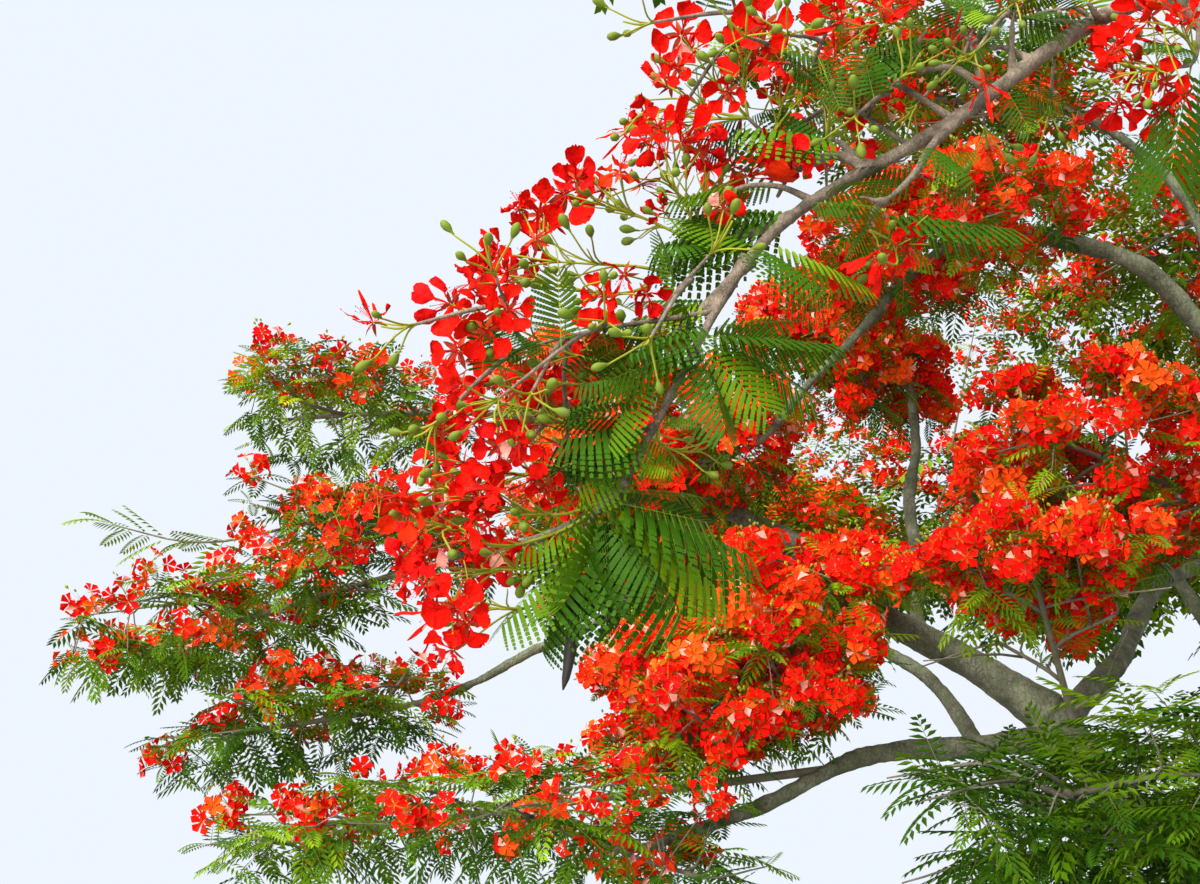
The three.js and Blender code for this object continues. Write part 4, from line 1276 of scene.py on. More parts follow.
def new_group(name, inputs, outputs):
    """A node group. A number makes a plain socket, and three numbers make one for a colour."""
    group = bpy.data.node_groups.new(name, "ShaderNodeTree")
    for socket, value in inputs.items():
        plain = isinstance(value, float)
        made = group.interface.new_socket(
            socket, in_out="INPUT", socket_type="NodeSocketFloat" if plain else "NodeSocketColor")
        made.default_value = value if plain else (*value, 1)
    for socket in outputs:
        kind = "NodeSocketColor" if socket == "Color" else "NodeSocketFloat"
        group.interface.new_socket(socket, in_out="OUTPUT", socket_type=kind)
    nodes = group.nodes
    return group, nodes.new("NodeGroupInput").outputs, nodes.new("NodeGroupOutput").inputs


class Nodes:
    """Lays out the nodes of one tree. An input is linked to a socket, or set to a value."""

    def __init__(self, tree):
        self.nodes, self.links = tree.nodes, tree.links
        self.place = self.new("ShaderNodeTexCoord", {}).outputs["Object"]

    def new(self, kind, inputs, **values):
        node = self.nodes.new(kind)
        for key, value in values.items():
            setattr(node, key, value)
        for key, value in inputs.items():
            if isinstance(value, bpy.types.NodeSocket):
                self.links.new(value, node.inputs[key])
            else:
                node.inputs[key].default_value = value
        return node

    def stretch(self, value, low, high, to_low=0.0, to_high=1.0):
        inputs = {"Value": value, "From Min": low, "From Max": high, "To Min": to_low,
                  "To Max": to_high}
        return self.new("ShaderNodeMapRange", inputs).outputs["Result"]

    def mix(self, share, first, second):
        inputs = {"Factor": share, 6: first, 7: second}
        return self.new("ShaderNodeMix", inputs, data_type="RGBA").outputs[2]

    def maths(self, operation, first, second):
        inputs = {0: first, 1: second}
        return self.new("ShaderNodeMath", inputs, operation=operation).outputs[0]

    def noise(self, scale, detail, roughness=0.5):
        inputs = {"Vector": self.place, "Scale": scale, "Detail": detail, "Roughness": roughness}
        return self.new("ShaderNodeTexNoise", inputs).outputs["Fac"]


def tint_group():
    """Shifts a colour a little from place to place, as sap, dust and age do."""
    found = bpy.data.node_groups.get("living_tint")
    if found:
        return found
    group, given, result = new_group(
        "living_tint", {"Dark": (0.1, 0.1, 0.1), "Light": (0.5, 0.5, 0.5), "Scale": 20.0},
        ("Color", "Roughness"))
    tree = Nodes(group)
    noise = tree.noise(given["Scale"], 3)
    tree.links.new(tree.mix(noise, given["Dark"], given["Light"]), result["Color"])
    tree.links.new(tree.stretch(noise, 0, 1, 0.55, 0.8), result["Roughness"])
    return group


def new_finish(name, skin, values, gloss):
    """A material whose colour and roughness come from a skin, which is a node group."""
    material = bpy.data.materials.new(name)
    material.use_nodes = True
    tree = material.node_tree
    shader = tree.nodes["Principled BSDF"]
    shader.inputs["Specular IOR Level"].default_value = gloss
    group = tree.nodes.new("ShaderNodeGroup")
    group.node_tree = skin
    for socket, value in values.items():
        group.inputs[socket].default_value = value
    tree.links.new(group.outputs["Color"], shader.inputs["Base Color"])
    tree.links.new(group.outputs["Roughness"], shader.inputs["Roughness"])
    return material, group


def add_bump(material, height, depth, strength=1.0):
    tree = material.node_tree
    bump = tree.nodes.new("ShaderNodeBump")
    bump.inputs["Strength"].default_value = strength
    bump.inputs["Distance"].default_value = depth
    tree.links.new(height, bump.inputs["Height"])
    tree.links.new(bump.outputs["Normal"], tree.nodes["Principled BSDF"].inputs["Normal"])


def living(name):
    """A finish of leaf, petal or green wood: one colour, a little lighter and darker in places."""
    found = bpy.data.materials.get(name)
    if found:
        return found
    look = LIVING[name]
    # The colour is darkened by its painted shade, which only the near petals have.
    colour = [c * look.dim for c in colour_of(look.colour)]
    material, _ = new_finish(name, tint_group(), {
        "Dark": (*(c * (1 - look.spread) for c in colour), 1),
        "Light": (*(min(1, c * (1 + look.spread)) for c in colour), 1),
        "Scale": look.scale}, look.gloss)
    if look.crinkle:
        folds = Nodes(material.node_tree).noise(CRINKLE_SCALE, 2)
        add_bump(material, folds, look.crinkle)
    return material


def bark_group():
    """Bark: blotches, fine grain, cracks and a green bloom."""
    found = bpy.data.node_groups.get("bark_skin")
    if found:
        return found
    group, given, result = new_group(
        "bark_skin", {"Shade": (0.1, 0.09, 0.07), "Pale": (0.4, 0.38, 0.32),
                      "Moss": (0.16, 0.18, 0.08), "Moss Amount": 0.5, "Scale": 6.0},
        ("Color", "Height", "Roughness"))
    tree = Nodes(group)
    scale = given["Scale"]

    def times(first, second):
        return tree.maths("MULTIPLY", first, second)

    blotches = tree.noise(scale, 6, 0.6)
    grain = tree.noise(times(scale, 9.0), 8, 0.7)
    warp = tree.new("ShaderNodeMapping", {"Vector": tree.place, "Scale": (1, 1, 0.45)})
    crack = tree.new("ShaderNodeTexVoronoi", {"Vector": warp.outputs["Vector"],
                                              "Scale": times(scale, 5.0)},
                     feature="DISTANCE_TO_EDGE")
    furrow = tree.stretch(crack.outputs["Distance"], 0.0, 0.09)
    tone = tree.stretch(tree.maths("ADD", blotches, times(grain, 0.6)), 0.62, 1.0)
    tone = times(tone, tree.stretch(furrow, 0, 1, 0.55, 1.0))
    patches = tree.stretch(tree.noise(times(scale, 2.3), 5, 0.65), 0.45, 0.62)
    moss = times(patches, given["Moss Amount"])
    colour = tree.mix(moss, tree.mix(tone, given["Shade"], given["Pale"]), given["Moss"])
    height = tree.maths("ADD", times(grain, 0.5), times(furrow, 0.5))
    tree.links.new(colour, result["Color"])
    tree.links.new(height, result["Height"])
    tree.links.new(tree.stretch(grain, 0, 1, 0.75, 1.0), result["Roughness"])
    return group


def bark(name):
    found = bpy.data.materials.get(name)
    if found:
        return found
    look = BARKS[name]
    values = {"Moss Amount": look.amount, "Scale": look.scale}
    for socket, colour in (("Shade", look.shade), ("Pale", look.pale), ("Moss", look.moss)):
        values[socket] = (*colour_of(colour), 1)
    material, group = new_finish(name, bark_group(), values, BARK_GLOSS)
    add_bump(material, group.outputs["Height"], look.depth, 0.8)
    return material


def colour_of(name):
    return tuple(getattr(bpy.context.scene.flame_colours, name))


def leaf_finishes():
    """The rib, which also fills places 2 and 3, and from FIRST_DEALT on the greens."""
    rib = living("leaf_rib")
    greens = [living(name) for name in GREENS]
    return [greens[1], rib, rib, rib, *greens]


def petal_finishes(before=""):
    """Sepal, pale petal, stalk, the reds from FIRST_DEALT on, stamen, anther and withered."""
    names = ["sepal", "pale_petal", "stalk_green", *(before + name for name in REDS), "stamen",
             "anther", "withered_petal"]
    return [living(before + REDS[0]), *(living(name) for name in names)]


def settle(piece, slot_name, *nodes):
    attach(piece, "root")
    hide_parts(*nodes)


def deselect():
    if bpy.context.mode != "OBJECT":
        bpy.ops.object.mode_set(mode="OBJECT")
    bpy.ops.object.select_all(action="DESELECT")


def only(piece):
    deselect()
    piece.select_set(True)
    bpy.context.view_layer.objects.active = piece


def apply_modifier(piece, kind, name, **values):
    only(piece)
    modifier = piece.modifiers.new(name, kind)
    for key, value in values.items():
        setattr(modifier, key, value)
    bpy.ops.object.modifier_apply(modifier=modifier.name)


def rods_from_curve(name, lines, sides):
    """Round tapering rods along lines: one curve with a bevel, turned into a mesh."""
    bpy.ops.curve.primitive_bezier_curve_add(location=(0, 0, 0))
    piece = bpy.context.object
    piece.name = name
    curve = piece.data
    curve.splines.clear()
    curve.dimensions = "3D"
    curve.bevel_depth = 1.0
    curve.bevel_resolution = max(0, sides // 2 - 2)
    curve.use_fill_caps = True
    curve.twist_mode = "MINIMUM"
    for points, radii in lines:
        spline = curve.splines.new("POLY")
        spline.points.add(len(points) - 1)
        flat = np.concatenate([points, np.ones((len(points), 1))], axis=1)
        spline.points.foreach_set("co", flat.ravel())
        spline.points.foreach_set("radius", radii)
    only(piece)
    bpy.ops.object.convert(target="MESH")
    return bpy.context.object


def limb_run(name, step=0.05):
    """Points and radii of a limb, swollen where it leaves its parent."""
    line = LINES[name]
    length = line.length()
    shares = np.linspace(0, 1, max(8, round(length / step)))
    radii = line.radius(shares)
    swell = 1 + COLLAR_SWELL * np.exp(-shares * length / (COLLAR_LENGTH * radii[0] / 0.1))
    return line.points(shares), radii * swell


def grow_together(rods, voxel, rounds, swells, height, most):
    """Makes rods one surface with eased forks and low swells, of no more than most triangles."""
    apply_modifier(rods, "REMESH", "Grow Together", mode="VOXEL", voxel_size=voxel)
    apply_modifier(rods, "SMOOTH", "Ease Forks", iterations=rounds, factor=0.5)
    relief = bpy.context.scene.flame_shape.bark_relief
    for name, size, share in swells:
        texture = bpy.data.textures.new(name, "CLOUDS")
        texture.noise_scale = size
        texture.noise_depth = 2
        apply_modifier(rods, "DISPLACE", name, texture=texture, texture_coords="LOCAL",
                       strength=relief * share * height, mid_level=0.5)
    faces = sum(len(face.vertices) - 2 for face in rods.data.polygons)
    if faces > most:
        apply_modifier(rods, "DECIMATE", "Thin Out", ratio=most / faces)


def finish_wood(piece, name, finish):
    piece.name = name
    piece.data.materials.clear()
    piece.data.materials.append(bark(finish))
    only(piece)
    bpy.ops.object.shade_smooth_by_angle(angle=math.radians(SMOOTH_ANGLE))


class FlameTreeShape(bpy.types.PropertyGroup):
    flower_radius: FloatProperty(
        name="Flower Radius", description="Radius of a crown flower", default=0.059,
        min=0.02, max=0.12, unit="LENGTH")
    wood_voxel: FloatProperty(
        name="Wood Fineness", description="Edge of the cells that the wood is joined in",
        default=0.013, min=0.006, max=0.04, unit="LENGTH")
    bark_relief: FloatProperty(
        name="Bark Relief", description="Height of the swells of old bark", default=0.016,
        min=0.0, max=0.05, unit="LENGTH")
    near_flower: FloatProperty(
        name="Near Flower Radius", description="Radius of a flower of the near limb",
        default=0.038, min=0.02, max=0.09, unit="LENGTH")
    near_voxel: FloatProperty(
        name="Near Wood Fineness", description="Edge of the cells that the near wood is joined in",
        default=0.0034, min=0.0025, max=0.01, unit="LENGTH")
    near_faces: IntProperty(
        name="Near Wood Faces", description="Most triangles kept in the near limb's wood",
        default=70000, min=10000, max=190000)
    wood_faces: IntProperty(
        name="Wood Faces", description="Most triangles kept in trunk and boughs",
        default=190000, min=20000, max=380000)


def colour_property(name, description, default):
    return FloatVectorProperty(name=name, description=description, default=default, size=3,
                               min=0.0, max=1.0, subtype="COLOR")


class FlameTreeColours(bpy.types.PropertyGroup):
    bark_shade: colour_property("Bark Shade", "Dark of the bark", (0.045, 0.043, 0.025))
    bark_pale: colour_property("Bark Pale", "Light of the bark", (0.23, 0.23, 0.15))
    bark_moss: colour_property("Bark Moss", "Green bloom on old bark", (0.1, 0.125, 0.055))
    twig: colour_property("Twig", "Young wood", (0.16, 0.12, 0.08))
    near_shade: colour_property("Near Bark Shade", "Dark of young bark", (0.075, 0.052, 0.036))
    near_pale: colour_property("Near Bark Pale", "Light of young bark", (0.31, 0.235, 0.165))
    # These four greens are painted shade and painted light on one leaf green. The lime stands for
    # leaves in the most light, not for young leaves.
    deep_green: colour_property("Deep Green", "Leaves in shade", (0.032, 0.095, 0.001))
    mid_green: colour_property("Mid Green", "Most leaves", (0.08, 0.17, 0.001))
    bright_green: colour_property("Bright Green", "Leaves in light", (0.16, 0.27, 0.002))
    lime_green: colour_property("Lime Green", "Young leaves", (0.3, 0.4, 0.003))
    leaf_rib: colour_property("Leaf Rib", "Ribs of leaves", (0.22, 0.3, 0.02))
    scarlet: colour_property("Scarlet", "Main petal colour", (0.98, 0.008, 0.002))
    crimson: colour_property("Crimson", "Dark petals", (0.76, 0.004, 0.003))
    flame: colour_property("Flame", "Warm petals", (1.0, 0.03, 0.003))
    orange: colour_property("Orange", "Petals that light shines through", (1.0, 0.08, 0.005))
    pale_petal: colour_property("Pale Petal", "The upright petal", (0.95, 0.34, 0.26))
    withered: colour_property("Withered Petal", "Petals past their best", (0.3, 0.016, 0.006))
    sepal: colour_property("Sepal", "Sepals and calyx", (0.42, 0.05, 0.012))
    stamen: colour_property("Stamen", "Stamens of the near flowers", (0.6, 0.02, 0.015))
    anther: colour_property("Anther", "Tips of the stamens", (0.09, 0.06, 0.03))
    stalk: colour_property("Stalk", "Flower stalks", (0.27, 0.27, 0.015))
    bud_green: colour_property("Bud Green", "Buds", (0.13, 0.18, 0.008))
    pod: colour_property("Pod", "Last year's dry pod", (0.016, 0.012, 0.008))
    floor: colour_property("Floor", "Plain studio floor", (0.38, 0.38, 0.37))


class FLAME_OT_wood(bpy.types.Operator):
    """Makes the trunk with its root flare, the boughs and their arms as one grown surface"""
    bl_idname = "flame.wood"
    bl_label = "Trunk and Boughs"

    def execute(self, context):
        shape = context.scene.flame_shape
        names = [row.name for row in LIMBS if row.name not in NEAR_LIMBS]
        rods = rods_from_curve("bark_boughs", [limb_run(name) for name in names], ROD_SIDES)
        trunk = self.trunk()
        only(rods)
        trunk.select_set(True)
        bpy.ops.object.join()
        boughs = bpy.context.object
        grow_together(boughs, shape.wood_voxel, 3, SWELLS, SWELL_HEIGHT, shape.wood_faces)
        self.cut(boughs, 0.0, keep_above=True)
        only(boughs)
        bpy.ops.object.duplicate()
        foot = bpy.context.object
        self.cut(foot, TRUNK_CUT, keep_above=False)
        self.cut(boughs, TRUNK_CUT, keep_above=True)
        finish_wood(boughs, "bark_boughs", "bough_bark")
        finish_wood(foot, "bark_trunk", "bough_bark")
        settle(foot, "trunk_bark", "trunk")
        settle(boughs, "bark", *names)
        return {"FINISHED"}

    def trunk(self):
        """A round of the trunk is drawn out upwards ring by ring, then given its lobes."""
        deselect()
        bpy.ops.mesh.primitive_circle_add(vertices=TRUNK_SIDES, radius=1.0, fill_type="NGON",
                                          location=(0, 0, -FOOT_DEPTH))
        piece = bpy.context.object
        bpy.ops.object.mode_set(mode="EDIT")
        bpy.ops.mesh.select_all(action="SELECT")
        rise = (TRUNK_HEIGHT + FOOT_DEPTH) / TRUNK_STEPS
        for _ in range(TRUNK_STEPS):
            bpy.ops.mesh.extrude_region_move(TRANSFORM_OT_translate={"value": (0, 0, rise)})
        bpy.ops.object.mode_set(mode="OBJECT")
        bpy.ops.object.transform_apply(location=True, rotation=False, scale=False)
        for vertex in piece.data.vertices:
            x, y, z = vertex.co
            share = max(z, 0) / TRUNK_HEIGHT
            turn = math.atan2(y, x)
            lobe = 1 + FLARE_DEPTH * math.cos(FLARE_LOBES * turn)
            flare = FLARE_RADIUS * lobe * math.exp(-max(z, 0) / FLARE_HEIGHT)
            radius = (lerp(*TRUNK_RADII, share) + flare) * math.hypot(x, y)
            vertex.co.x = TRUNK_TOP[0] * share + radius * math.cos(turn)
            vertex.co.y = TRUNK_TOP[1] * share + radius * math.sin(turn)
        return piece

    def cut(self, piece, height, keep_above):
        only(piece)
        bpy.ops.object.mode_set(mode="EDIT")
        bpy.ops.mesh.select_all(action="SELECT")
        bpy.ops.mesh.bisect(plane_co=(0, 0, height), plane_no=(0, 0, 1), use_fill=True,
                            clear_inner=keep_above, clear_outer=not keep_above)
        bpy.ops.object.mode_set(mode="OBJECT")


def grow_shoot(number, joints, spots, growth):
    """A shoot that reaches out and shows at the spots, with leaves and heads along it."""
    wood = np.concatenate([twig.points for twig in growth.twigs])
    shoot = tapered(near_line(300 + number, spots, wood, SHOOT_DRIFT), SHOOT_RADII, SHOOT_STEPS)
    growth.twigs.append(shoot)
    line = shoot.points
    for i in range(3, SHOOT_STEPS):
        run = unit(line[i] - line[i - 1])
        for turn in (GOLDEN * i, GOLDEN * i + SHOOT_PAIR):
            side = one_across(run, turn)
            way = unit(run * SHOOT_FORWARD + side * SHOOT_SIDE)
            size = between(*SHOOT_LEAVES, number, i, 97)
            growth.leaves.append((line[i], way, size, SHOOT_LIGHT))
    for joint in joints:
        growth.heads.append((line[joint], UP, SHOOT_FLOWERS, chance(number, joint, 98), 1))


GROWTH = {}


def growth_of(section):
    if section not in GROWTH:
        growth = Growth([], [], [])
        for row in SECTIONS[section]:
            grow_mass(SPACES[row.name], growth)
        for number, (joints, spots) in enumerate(SHOOTS.get(section, ())):
            grow_shoot(number, joints, spots, growth)
        GROWTH[section] = growth
    return GROWTH[section]


def dress_crown(kind, slot_name, finishes, fill, smooth=False):
    """One piece of a kind for each section of the crown, filled from what the section grows."""
    for number, (section, rows) in enumerate(SECTIONS.items()):
        heap = Heap()
        fill(heap, section, number)
        piece = heap.build(f"{kind}_{section}", finishes, smooth)
        settle(piece, slot_name, *(row.name for row in rows))


class FLAME_OT_twigs(bpy.types.Operator):
    """Makes the stems, twigs and sprigs of the crown's masses, joined by section"""
    bl_idname = "flame.twigs"
    bl_label = "Crown Twigs"

    def execute(self, context):
        def fill(heap, section, number):
            twigs = growth_of(section).twigs
            for count, sides in TWIG_SIDES.items():
                add_rods(heap, [twig for twig in twigs if len(twig.points) == count], sides)

        dress_crown("twigs", "bark", [bark("twig_bark")], fill, smooth=True)
        return {"FINISHED"}


class FLAME_OT_leaves(bpy.types.Operator):
    """Makes the feathery leaves of the crown, joined by section"""
    bl_idname = "flame.leaves"
    bl_label = "Crown Leaves"

    def execute(self, context):
        def fill(heap, section, number):
            shape = LEAF if section in NEARER_SECTIONS else FAR_LEAF
            rng = np.random.default_rng(SEED + number)
            dress_leaves(heap, growth_of(section).leaves, shape, rng)

        dress_crown("leaves", "foliage", leaf_finishes(), fill)
        return {"FINISHED"}


class FLAME_OT_blossom(bpy.types.Operator):
    """Makes the heads of blossom of the crown, joined by section"""
    bl_idname = "flame.blossom"
    bl_label = "Crown Blossom"

    def execute(self, context):
        size = context.scene.flame_shape.flower_radius

        def fill(heap, section, number):
            rng = np.random.default_rng(SEED + 100 + number)
            dress_heads(heap, growth_of(section).heads, size, rng)

        dress_crown("blossom", "blossom", petal_finishes(), fill)
        return {"FINISHED"}


def shown(places):
    """Where places show in the view, in steps across and down."""
    offset = np.asarray(places) - CAMERA_PLACE
    ahead = offset @ (0, math.cos(TILT), math.sin(TILT))
    up = offset @ (0, -math.sin(TILT), math.cos(TILT))
    return PHOTO_SIZE[0] / 2 + FOCAL * offset[:, 0] / ahead, PHOTO_SIZE[1] / 2 - FOCAL * up / ahead


def seen(across, down, away):
    """The place so far away that shows at a spot of the view."""
    right = (across - PHOTO_SIZE[0] / 2) / FOCAL
    up = (PHOTO_SIZE[1] / 2 - down) / FOCAL
    reach = away / (math.cos(TILT) - math.sin(TILT) * up)
    rise = reach * (math.sin(TILT) + math.cos(TILT) * up)
    return np.array(CAMERA_PLACE) + (reach * right, away, rise)


def rooted(spot, wood):
    """The place on the wood that shows nearest to a spot of the view."""
    across, down = shown(wood)
    return wood[np.argmin(np.hypot(across - spot[0], down - spot[1]))]


def through(spots, step=0.01):
    """Places set evenly along a smooth line through the spots."""
    spots = np.asarray(spots, float)
    padded = np.concatenate([[2 * spots[0] - spots[1]], spots, [2 * spots[-1] - spots[-2]]])
    run = []
    for a, b, c, d in zip(padded, padded[1:], padded[2:], padded[3:]):
        count = max(2, math.ceil(np.linalg.norm(c - b) / step))
        t = np.arange(count)[:, None] / count
        run.append(b + 0.5 * (c - a) * t + (a - 2.5 * b + 2 * c - 0.5 * d) * t * t
                   + (1.5 * b - 0.5 * a - 1.5 * c + 0.5 * d) * t**3)
    return np.concatenate([*run, spots[-1:]])


def near_line(number, spots, wood, drift):
    """A line that sets out from the wood and shows at the spots, drifting nearer or farther."""
    base = rooted(spots[0], wood)
    away = base[1] - CAMERA_PLACE[1]
    shift = between(-drift, drift, number, 80)
    count = len(spots) - 1
    return through([base] + [seen(*spot, away + shift * i / count)
                             for i, spot in enumerate(spots[1:], 1)])


def resampled(points, count):
    """The same line with a given number of points."""
    steps = np.linalg.norm(np.diff(points, axis=0), axis=1)
    at = np.concatenate([[0], np.cumsum(steps)])
    wanted = np.linspace(0, at[-1], count)
    return np.stack([np.interp(wanted, at, points[:, axis]) for axis in range(3)], axis=-1)


def tapered(points, radii, count):
    return Twig(resampled(points, count), np.linspace(*radii, count))


class NearGrowth:
    """What grows on the near limb: branches, stalks, flowers, buds and leaves."""

    def __init__(self):
        self.wood = np.concatenate([LINES[name].points(np.linspace(0, 1, 160))
                                    for name in NEAR_LIMBS])
        self.rng = np.random.default_rng(SEED + 7)
        self.branches, self.twigs, self.stalks = [], [], []
        self.flowers, self.buds, self.leaves = [], [], []
        for number, (first, last, spots) in enumerate(BRANCHES):
            line = near_line(number, spots, self.wood, BRANCH_DRIFT)
            shares = np.linspace(0, 1, len(line))
            knots = 1 + KNOT_SWELL * np.array([chance(number, i // 3, 81) - 0.4
                                               for i in range(len(line))])
            swell = 1 + FORK_SWELL * np.exp(-shares * len(line) / FORK_LENGTH)
            self.branches.append((line, lerp(first, last, shares) * knots * swell))
            self.wood = np.concatenate([self.wood, line])
        for number, row in enumerate(HEADS):
            self.grow_head(number, *row)
        for row in LEAVES:
            foot, tip = row[:2], row[2:]
            base = rooted(foot, self.wood)
            away = base[1] - CAMERA_PLACE[1]
            if math.hypot(*(np.array(shown(base[None]))[:, 0] - foot)) > FOOT_SLACK:
                base = seen(*foot, away)
            end = seen(*tip, away + self.rng.uniform(*NEAR_LEAF_DEPTHS))
            self.leaves.append((base, end - base))
        self.grow_by_rule()

    def grow_head(self, number, axis, flowers, facing, buds):
        line = near_line(100 + number, axis, self.wood, NEAR_DEPTH * 0.6)
        self.stalks.append(tapered(line, AXIS_RADII, STALK_STEPS))
        for spot in flowers + facing + buds:
            away = line[-1][1] - CAMERA_PLACE[1] + self.rng.uniform(-NEAR_DEPTH, NEAR_DEPTH)
            if spot in buds:
                away -= BUD_ADVANCE
            place = seen(*spot, away)
            self.hang(line, place, spot in buds, spot in facing)
        for i in range(BARE_STALKS):
            at = int(between(*BARE_PLACES, number, i, 94) * (len(line) - 2))
            run = unit(line[at + 1] - line[at])
            side = one_across(run, GOLDEN * i)
            way = unit(run * between(*BARE_FORWARD, number, i, 95) + side + UP * 0.15)
            end = line[at] + way * between(*BARE_LENGTHS, number, i, 96)
            self.stalks.append(bowed(line[at], end, unit(run + way * 0.5), BARE_RADII, 6))
            if i % 3 == 0:
                self.buds.append((end - way * 0.004, unit(way + UP * 0.25)))

    def hang(self, line, place, bud, facing):
        """One flower or bud on its stalk, which leaves the line a stalk's length away."""
        gaps = np.linalg.norm(line - place, axis=1)
        nearest = int(np.argmin(gaps))
        pick = int(np.argmin(np.abs(gaps[:nearest + 1] - PEDICEL)))
        root = line[pick]
        run = unit(line[min(pick + 1, len(line) - 1)] - line[max(pick - 1, 0)])
        way = unit(place - root)
        stalk = bowed(root, place, unit(run * 0.9 + way * 0.5), PEDICEL_RADII, 6)
        self.stalks.append(stalk)
        tip = unit(stalk.points[-1] - stalk.points[-2])
        toward = unit(np.array(CAMERA_PLACE) - place)
        if bud:
            self.buds.append((place - tip * 0.008, unit(tip + UP * 0.25)))
            return
        lean = self.rng.normal(0, FACE_LEAN, 3)
        if facing:
            face = unit(toward + tip * 0.25 + lean * 0.3)
        else:
            face = unit(tip + toward * self.rng.uniform(*FACE_TURNS) + lean)
        stage = 1 if facing else 2 if self.rng.random() < SPENT_SHARE else 0
        self.flowers.append((place, face, stage))

    def grow_by_rule(self):
        """The rule's own twigs in the near masses, each with leaves and a head at its end."""
        for mass, row in enumerate(NEAR_MASSES):
            for k, twig in enumerate(main_twigs(SPACES[row.name])):
                self.twigs.append(tapered(twig.points, NEAR_TWIG_RADII, 10))
                if k == 0:
                    continue
                end = twig.points[-1]
                run = unit(end - twig.points[-2])
                line = through([end, end + run * 0.025, end + run * 0.05 + UP * 0.01])
                self.stalks.append(tapered(line, RULE_AXIS_RADII, STALK_STEPS))
                for i in range(4):
                    side = one_across(run, GOLDEN * i + 6.28 * chance(mass, k, 90))
                    out = unit(run * between(*RULE_FORWARD, mass, k, i, 91) + side)
                    foot = line[int(lerp(*RULE_PLACES, i / 3) * (len(line) - 1))]
                    self.hang(line, foot + out * between(*RULE_REACH, mass, k, i, 92),
                              i != 2 or k % 2 == 0, False)
                side = one_across(run, RULE_TURN * k)
                way = unit(side - run * 0.5 + UP * 0.1) * between(*RULE_LEAVES, mass, k, 93)
                self.leaves.append((twig.points[2], way))


class FLAME_OT_near(bpy.types.Operator):
    """Makes the drooping limb close to the camera, with its leaves and blossom"""
    bl_idname = "flame.near"
    bl_label = "Near Limb"

    def execute(self, context):
        shape = context.scene.flame_shape
        growth = NearGrowth()
        masses = [row.name for row in NEAR_MASSES]
        thick = [rod for rod in growth.branches if rod[1][-1] > THICK_TIP]
        thin = [rod for rod in growth.branches if rod[1][-1] <= THICK_TIP]
        limbs = [limb_run(name, 0.014) for name in NEAR_LIMBS]
        wood = rods_from_curve("near_wood", limbs + thick, ROD_SIDES)
        grow_together(wood, shape.near_voxel, 2, NEAR_SWELLS, NEAR_SWELL_HEIGHT, shape.near_faces)
        finish_wood(wood, "near_wood", "near_bark")
        settle(wood, "bark", *NEAR_LIMBS)

        sticks = Heap()
        shares = np.linspace(0, 1, ROD_STEPS)
        rods = [Twig(resampled(line, ROD_STEPS),
                     np.interp(shares, np.linspace(0, 1, len(radii)), radii))
                for line, radii in thin]
        add_rods(sticks, rods, 8)
        add_rods(sticks, growth.twigs, 6)
        pod = near_line(200, POD, growth.wood, POD_DRIFT)
        girths = np.interp(shares, POD_SHARES, POD_RADII)
        add_rods(sticks, [Twig(resampled(pod, ROD_STEPS), girths)], 8, 1)
        piece = sticks.build("near_twigs", [bark("near_bark"), living("pod_skin")], smooth=True)
        settle(piece, "bark", *masses)
        self.dress(growth, masses)
        return {"FINISHED"}

    def dress(self, growth, masses):
        rng = growth.rng
        leaves = Heap()
        bases, ways = columns_of(growth.leaves)
        kinds = rng.integers(0, len(FRONDS), len(bases))
        for kind, shape in enumerate(FRONDS):
            chosen = kinds == kind
            number = int(chosen.sum())
            ups = unit(UP + rng.normal(0, NEAR_TILT, (number, 3)))
            greens = FIRST_DEALT + rng.choice(len(GREENS), number, p=NEAR_GREEN_SHARES)
            plant(leaves, shape, bases[chosen], ways[chosen] + UP * 0.02, ups,
                  np.linalg.norm(ways[chosen], axis=1), greens,
                  rng.uniform(*NEAR_DROOPS, number), rng.uniform(*NEAR_FOLDS, number))
        piece = leaves.build("near_leaves", leaf_finishes())
        settle(piece, "foliage", *masses)

        stalks = Heap()
        for count, sides in ((STALK_STEPS, 6), (7, 5)):
            add_rods(stalks, [twig for twig in growth.stalks if len(twig.points) == count], sides)
        spots, ways = columns_of(growth.buds)
        plant(stalks, ROUND_BUD, spots, ways, any_across(ways),
              rng.uniform(*NEAR_BUD_SIZES, len(ways)), 1)
        finishes = [living("stalk_green"), living("bud_skin")]
        piece = stalks.build("near_stalks", finishes, smooth=True)
        settle(piece, "foliage", *masses)

        blossom = Heap()
        size = bpy.context.scene.flame_shape.near_flower
        for stage, shapes in enumerate((NEAR_FLOWERS, OPEN_FLOWERS, SPENT_FLOWERS)):
            rows = [(place, face) for place, face, own in growth.flowers if own == stage]
            places, faces = columns_of(rows)
            kinds = rng.integers(0, len(shapes), len(rows))
            for kind, shape in enumerate(shapes):
                chosen = kinds == kind
                number = int(chosen.sum())
                reds = FIRST_DEALT + rng.choice(len(REDS), number, p=NEAR_RED_SHARES)
                withered = rng.random(number) < WITHERED[stage]
                scales = size * rng.uniform(*NEAR_SIZES, number) * NEAR_SCALES[stage]
                plant(blossom, shape, places[chosen], faces[chosen],
                      any_across(faces[chosen], rng.uniform(0, 6.28, number)), scales,
                      np.where(withered, SHRIVELLED, reds))
        piece = blossom.build("near_blossom", petal_finishes("near_"), smooth=True)
        settle(piece, "blossom", *masses)


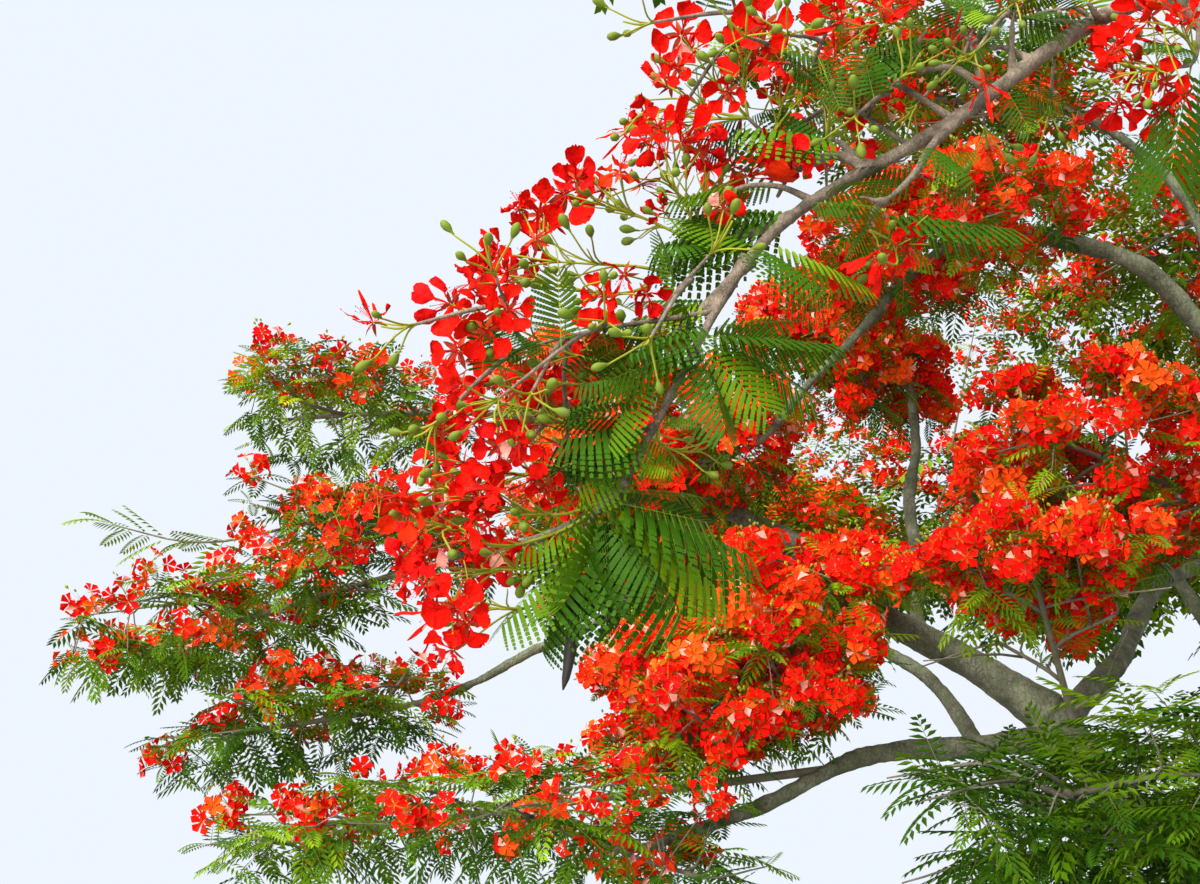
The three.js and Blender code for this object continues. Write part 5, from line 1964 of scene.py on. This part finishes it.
class FLAME_OT_stage(bpy.types.Operator):
    """Sets up the floor, the soft light and the camera"""
    bl_idname = "flame.stage"
    bl_label = "Stage"

    def execute(self, context):
        scene = context.scene
        deselect()
        bpy.ops.mesh.primitive_plane_add(size=FLOOR_SIZE, location=(0, 0, 0))
        floor = bpy.context.object
        floor.name = "floor"
        floor.data.materials.append(living("studio_floor"))
        world = bpy.data.worlds.new("soft_sky")
        world.use_nodes = True
        scene.world = world
        background = world.node_tree.nodes["Background"]
        background.inputs["Color"].default_value = SKY_COLOUR
        background.inputs["Strength"].default_value = 1.0
        for place, source, strength, width in LIGHTS:
            deselect()
            bpy.ops.object.light_add(type="SUN", location=place)
            light = bpy.context.object
            light.data.energy = strength
            light.data.angle = math.radians(width)
            light.rotation_euler = Vector(source).to_track_quat("Z", "Y").to_euler()
        deselect()
        bpy.ops.object.camera_add(location=CAMERA_PLACE)
        camera = bpy.context.object
        camera.rotation_euler = (math.radians(90 + CAMERA_PITCH), 0, 0)
        camera.data.lens = CAMERA_LENS
        camera.data.sensor_width = SENSOR_WIDTH
        camera.data.clip_start = 0.05
        scene.camera = camera
        scene.view_settings.view_transform = "Standard"
        return {"FINISHED"}


class FLAME_PT_panel(bpy.types.Panel):
    bl_label = "Flame Tree"
    bl_idname = "FLAME_PT_panel"
    bl_space_type = "VIEW_3D"
    bl_region_type = "UI"
    bl_category = "Flame Tree"

    def draw(self, context):
        layout = self.layout
        for group in (context.scene.flame_shape, context.scene.flame_colours):
            for name in group.__annotations__:
                layout.prop(group, name)
        for operator in OPERATORS:
            layout.operator(operator.bl_idname)


OPERATORS = (FLAME_OT_stage, FLAME_OT_wood, FLAME_OT_near, FLAME_OT_twigs, FLAME_OT_leaves,
             FLAME_OT_blossom)
CLASSES = (FlameTreeShape, FlameTreeColours, *OPERATORS, FLAME_PT_panel)


def register():
    for cls in CLASSES:
        bpy.utils.register_class(cls)
    bpy.types.Scene.flame_shape = PointerProperty(type=FlameTreeShape)
    bpy.types.Scene.flame_colours = PointerProperty(type=FlameTreeColours)


def unregister():
    del bpy.types.Scene.flame_colours
    del bpy.types.Scene.flame_shape
    for cls in reversed(CLASSES):
        bpy.utils.unregister_class(cls)


def main():
    register()
    bpy.ops.flame.stage()
    bpy.ops.flame.wood()
    bpy.ops.flame.near()
    bpy.ops.flame.twigs()
    bpy.ops.flame.leaves()
    bpy.ops.flame.blossom()
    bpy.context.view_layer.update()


if __name__ == "__main__":
    main()
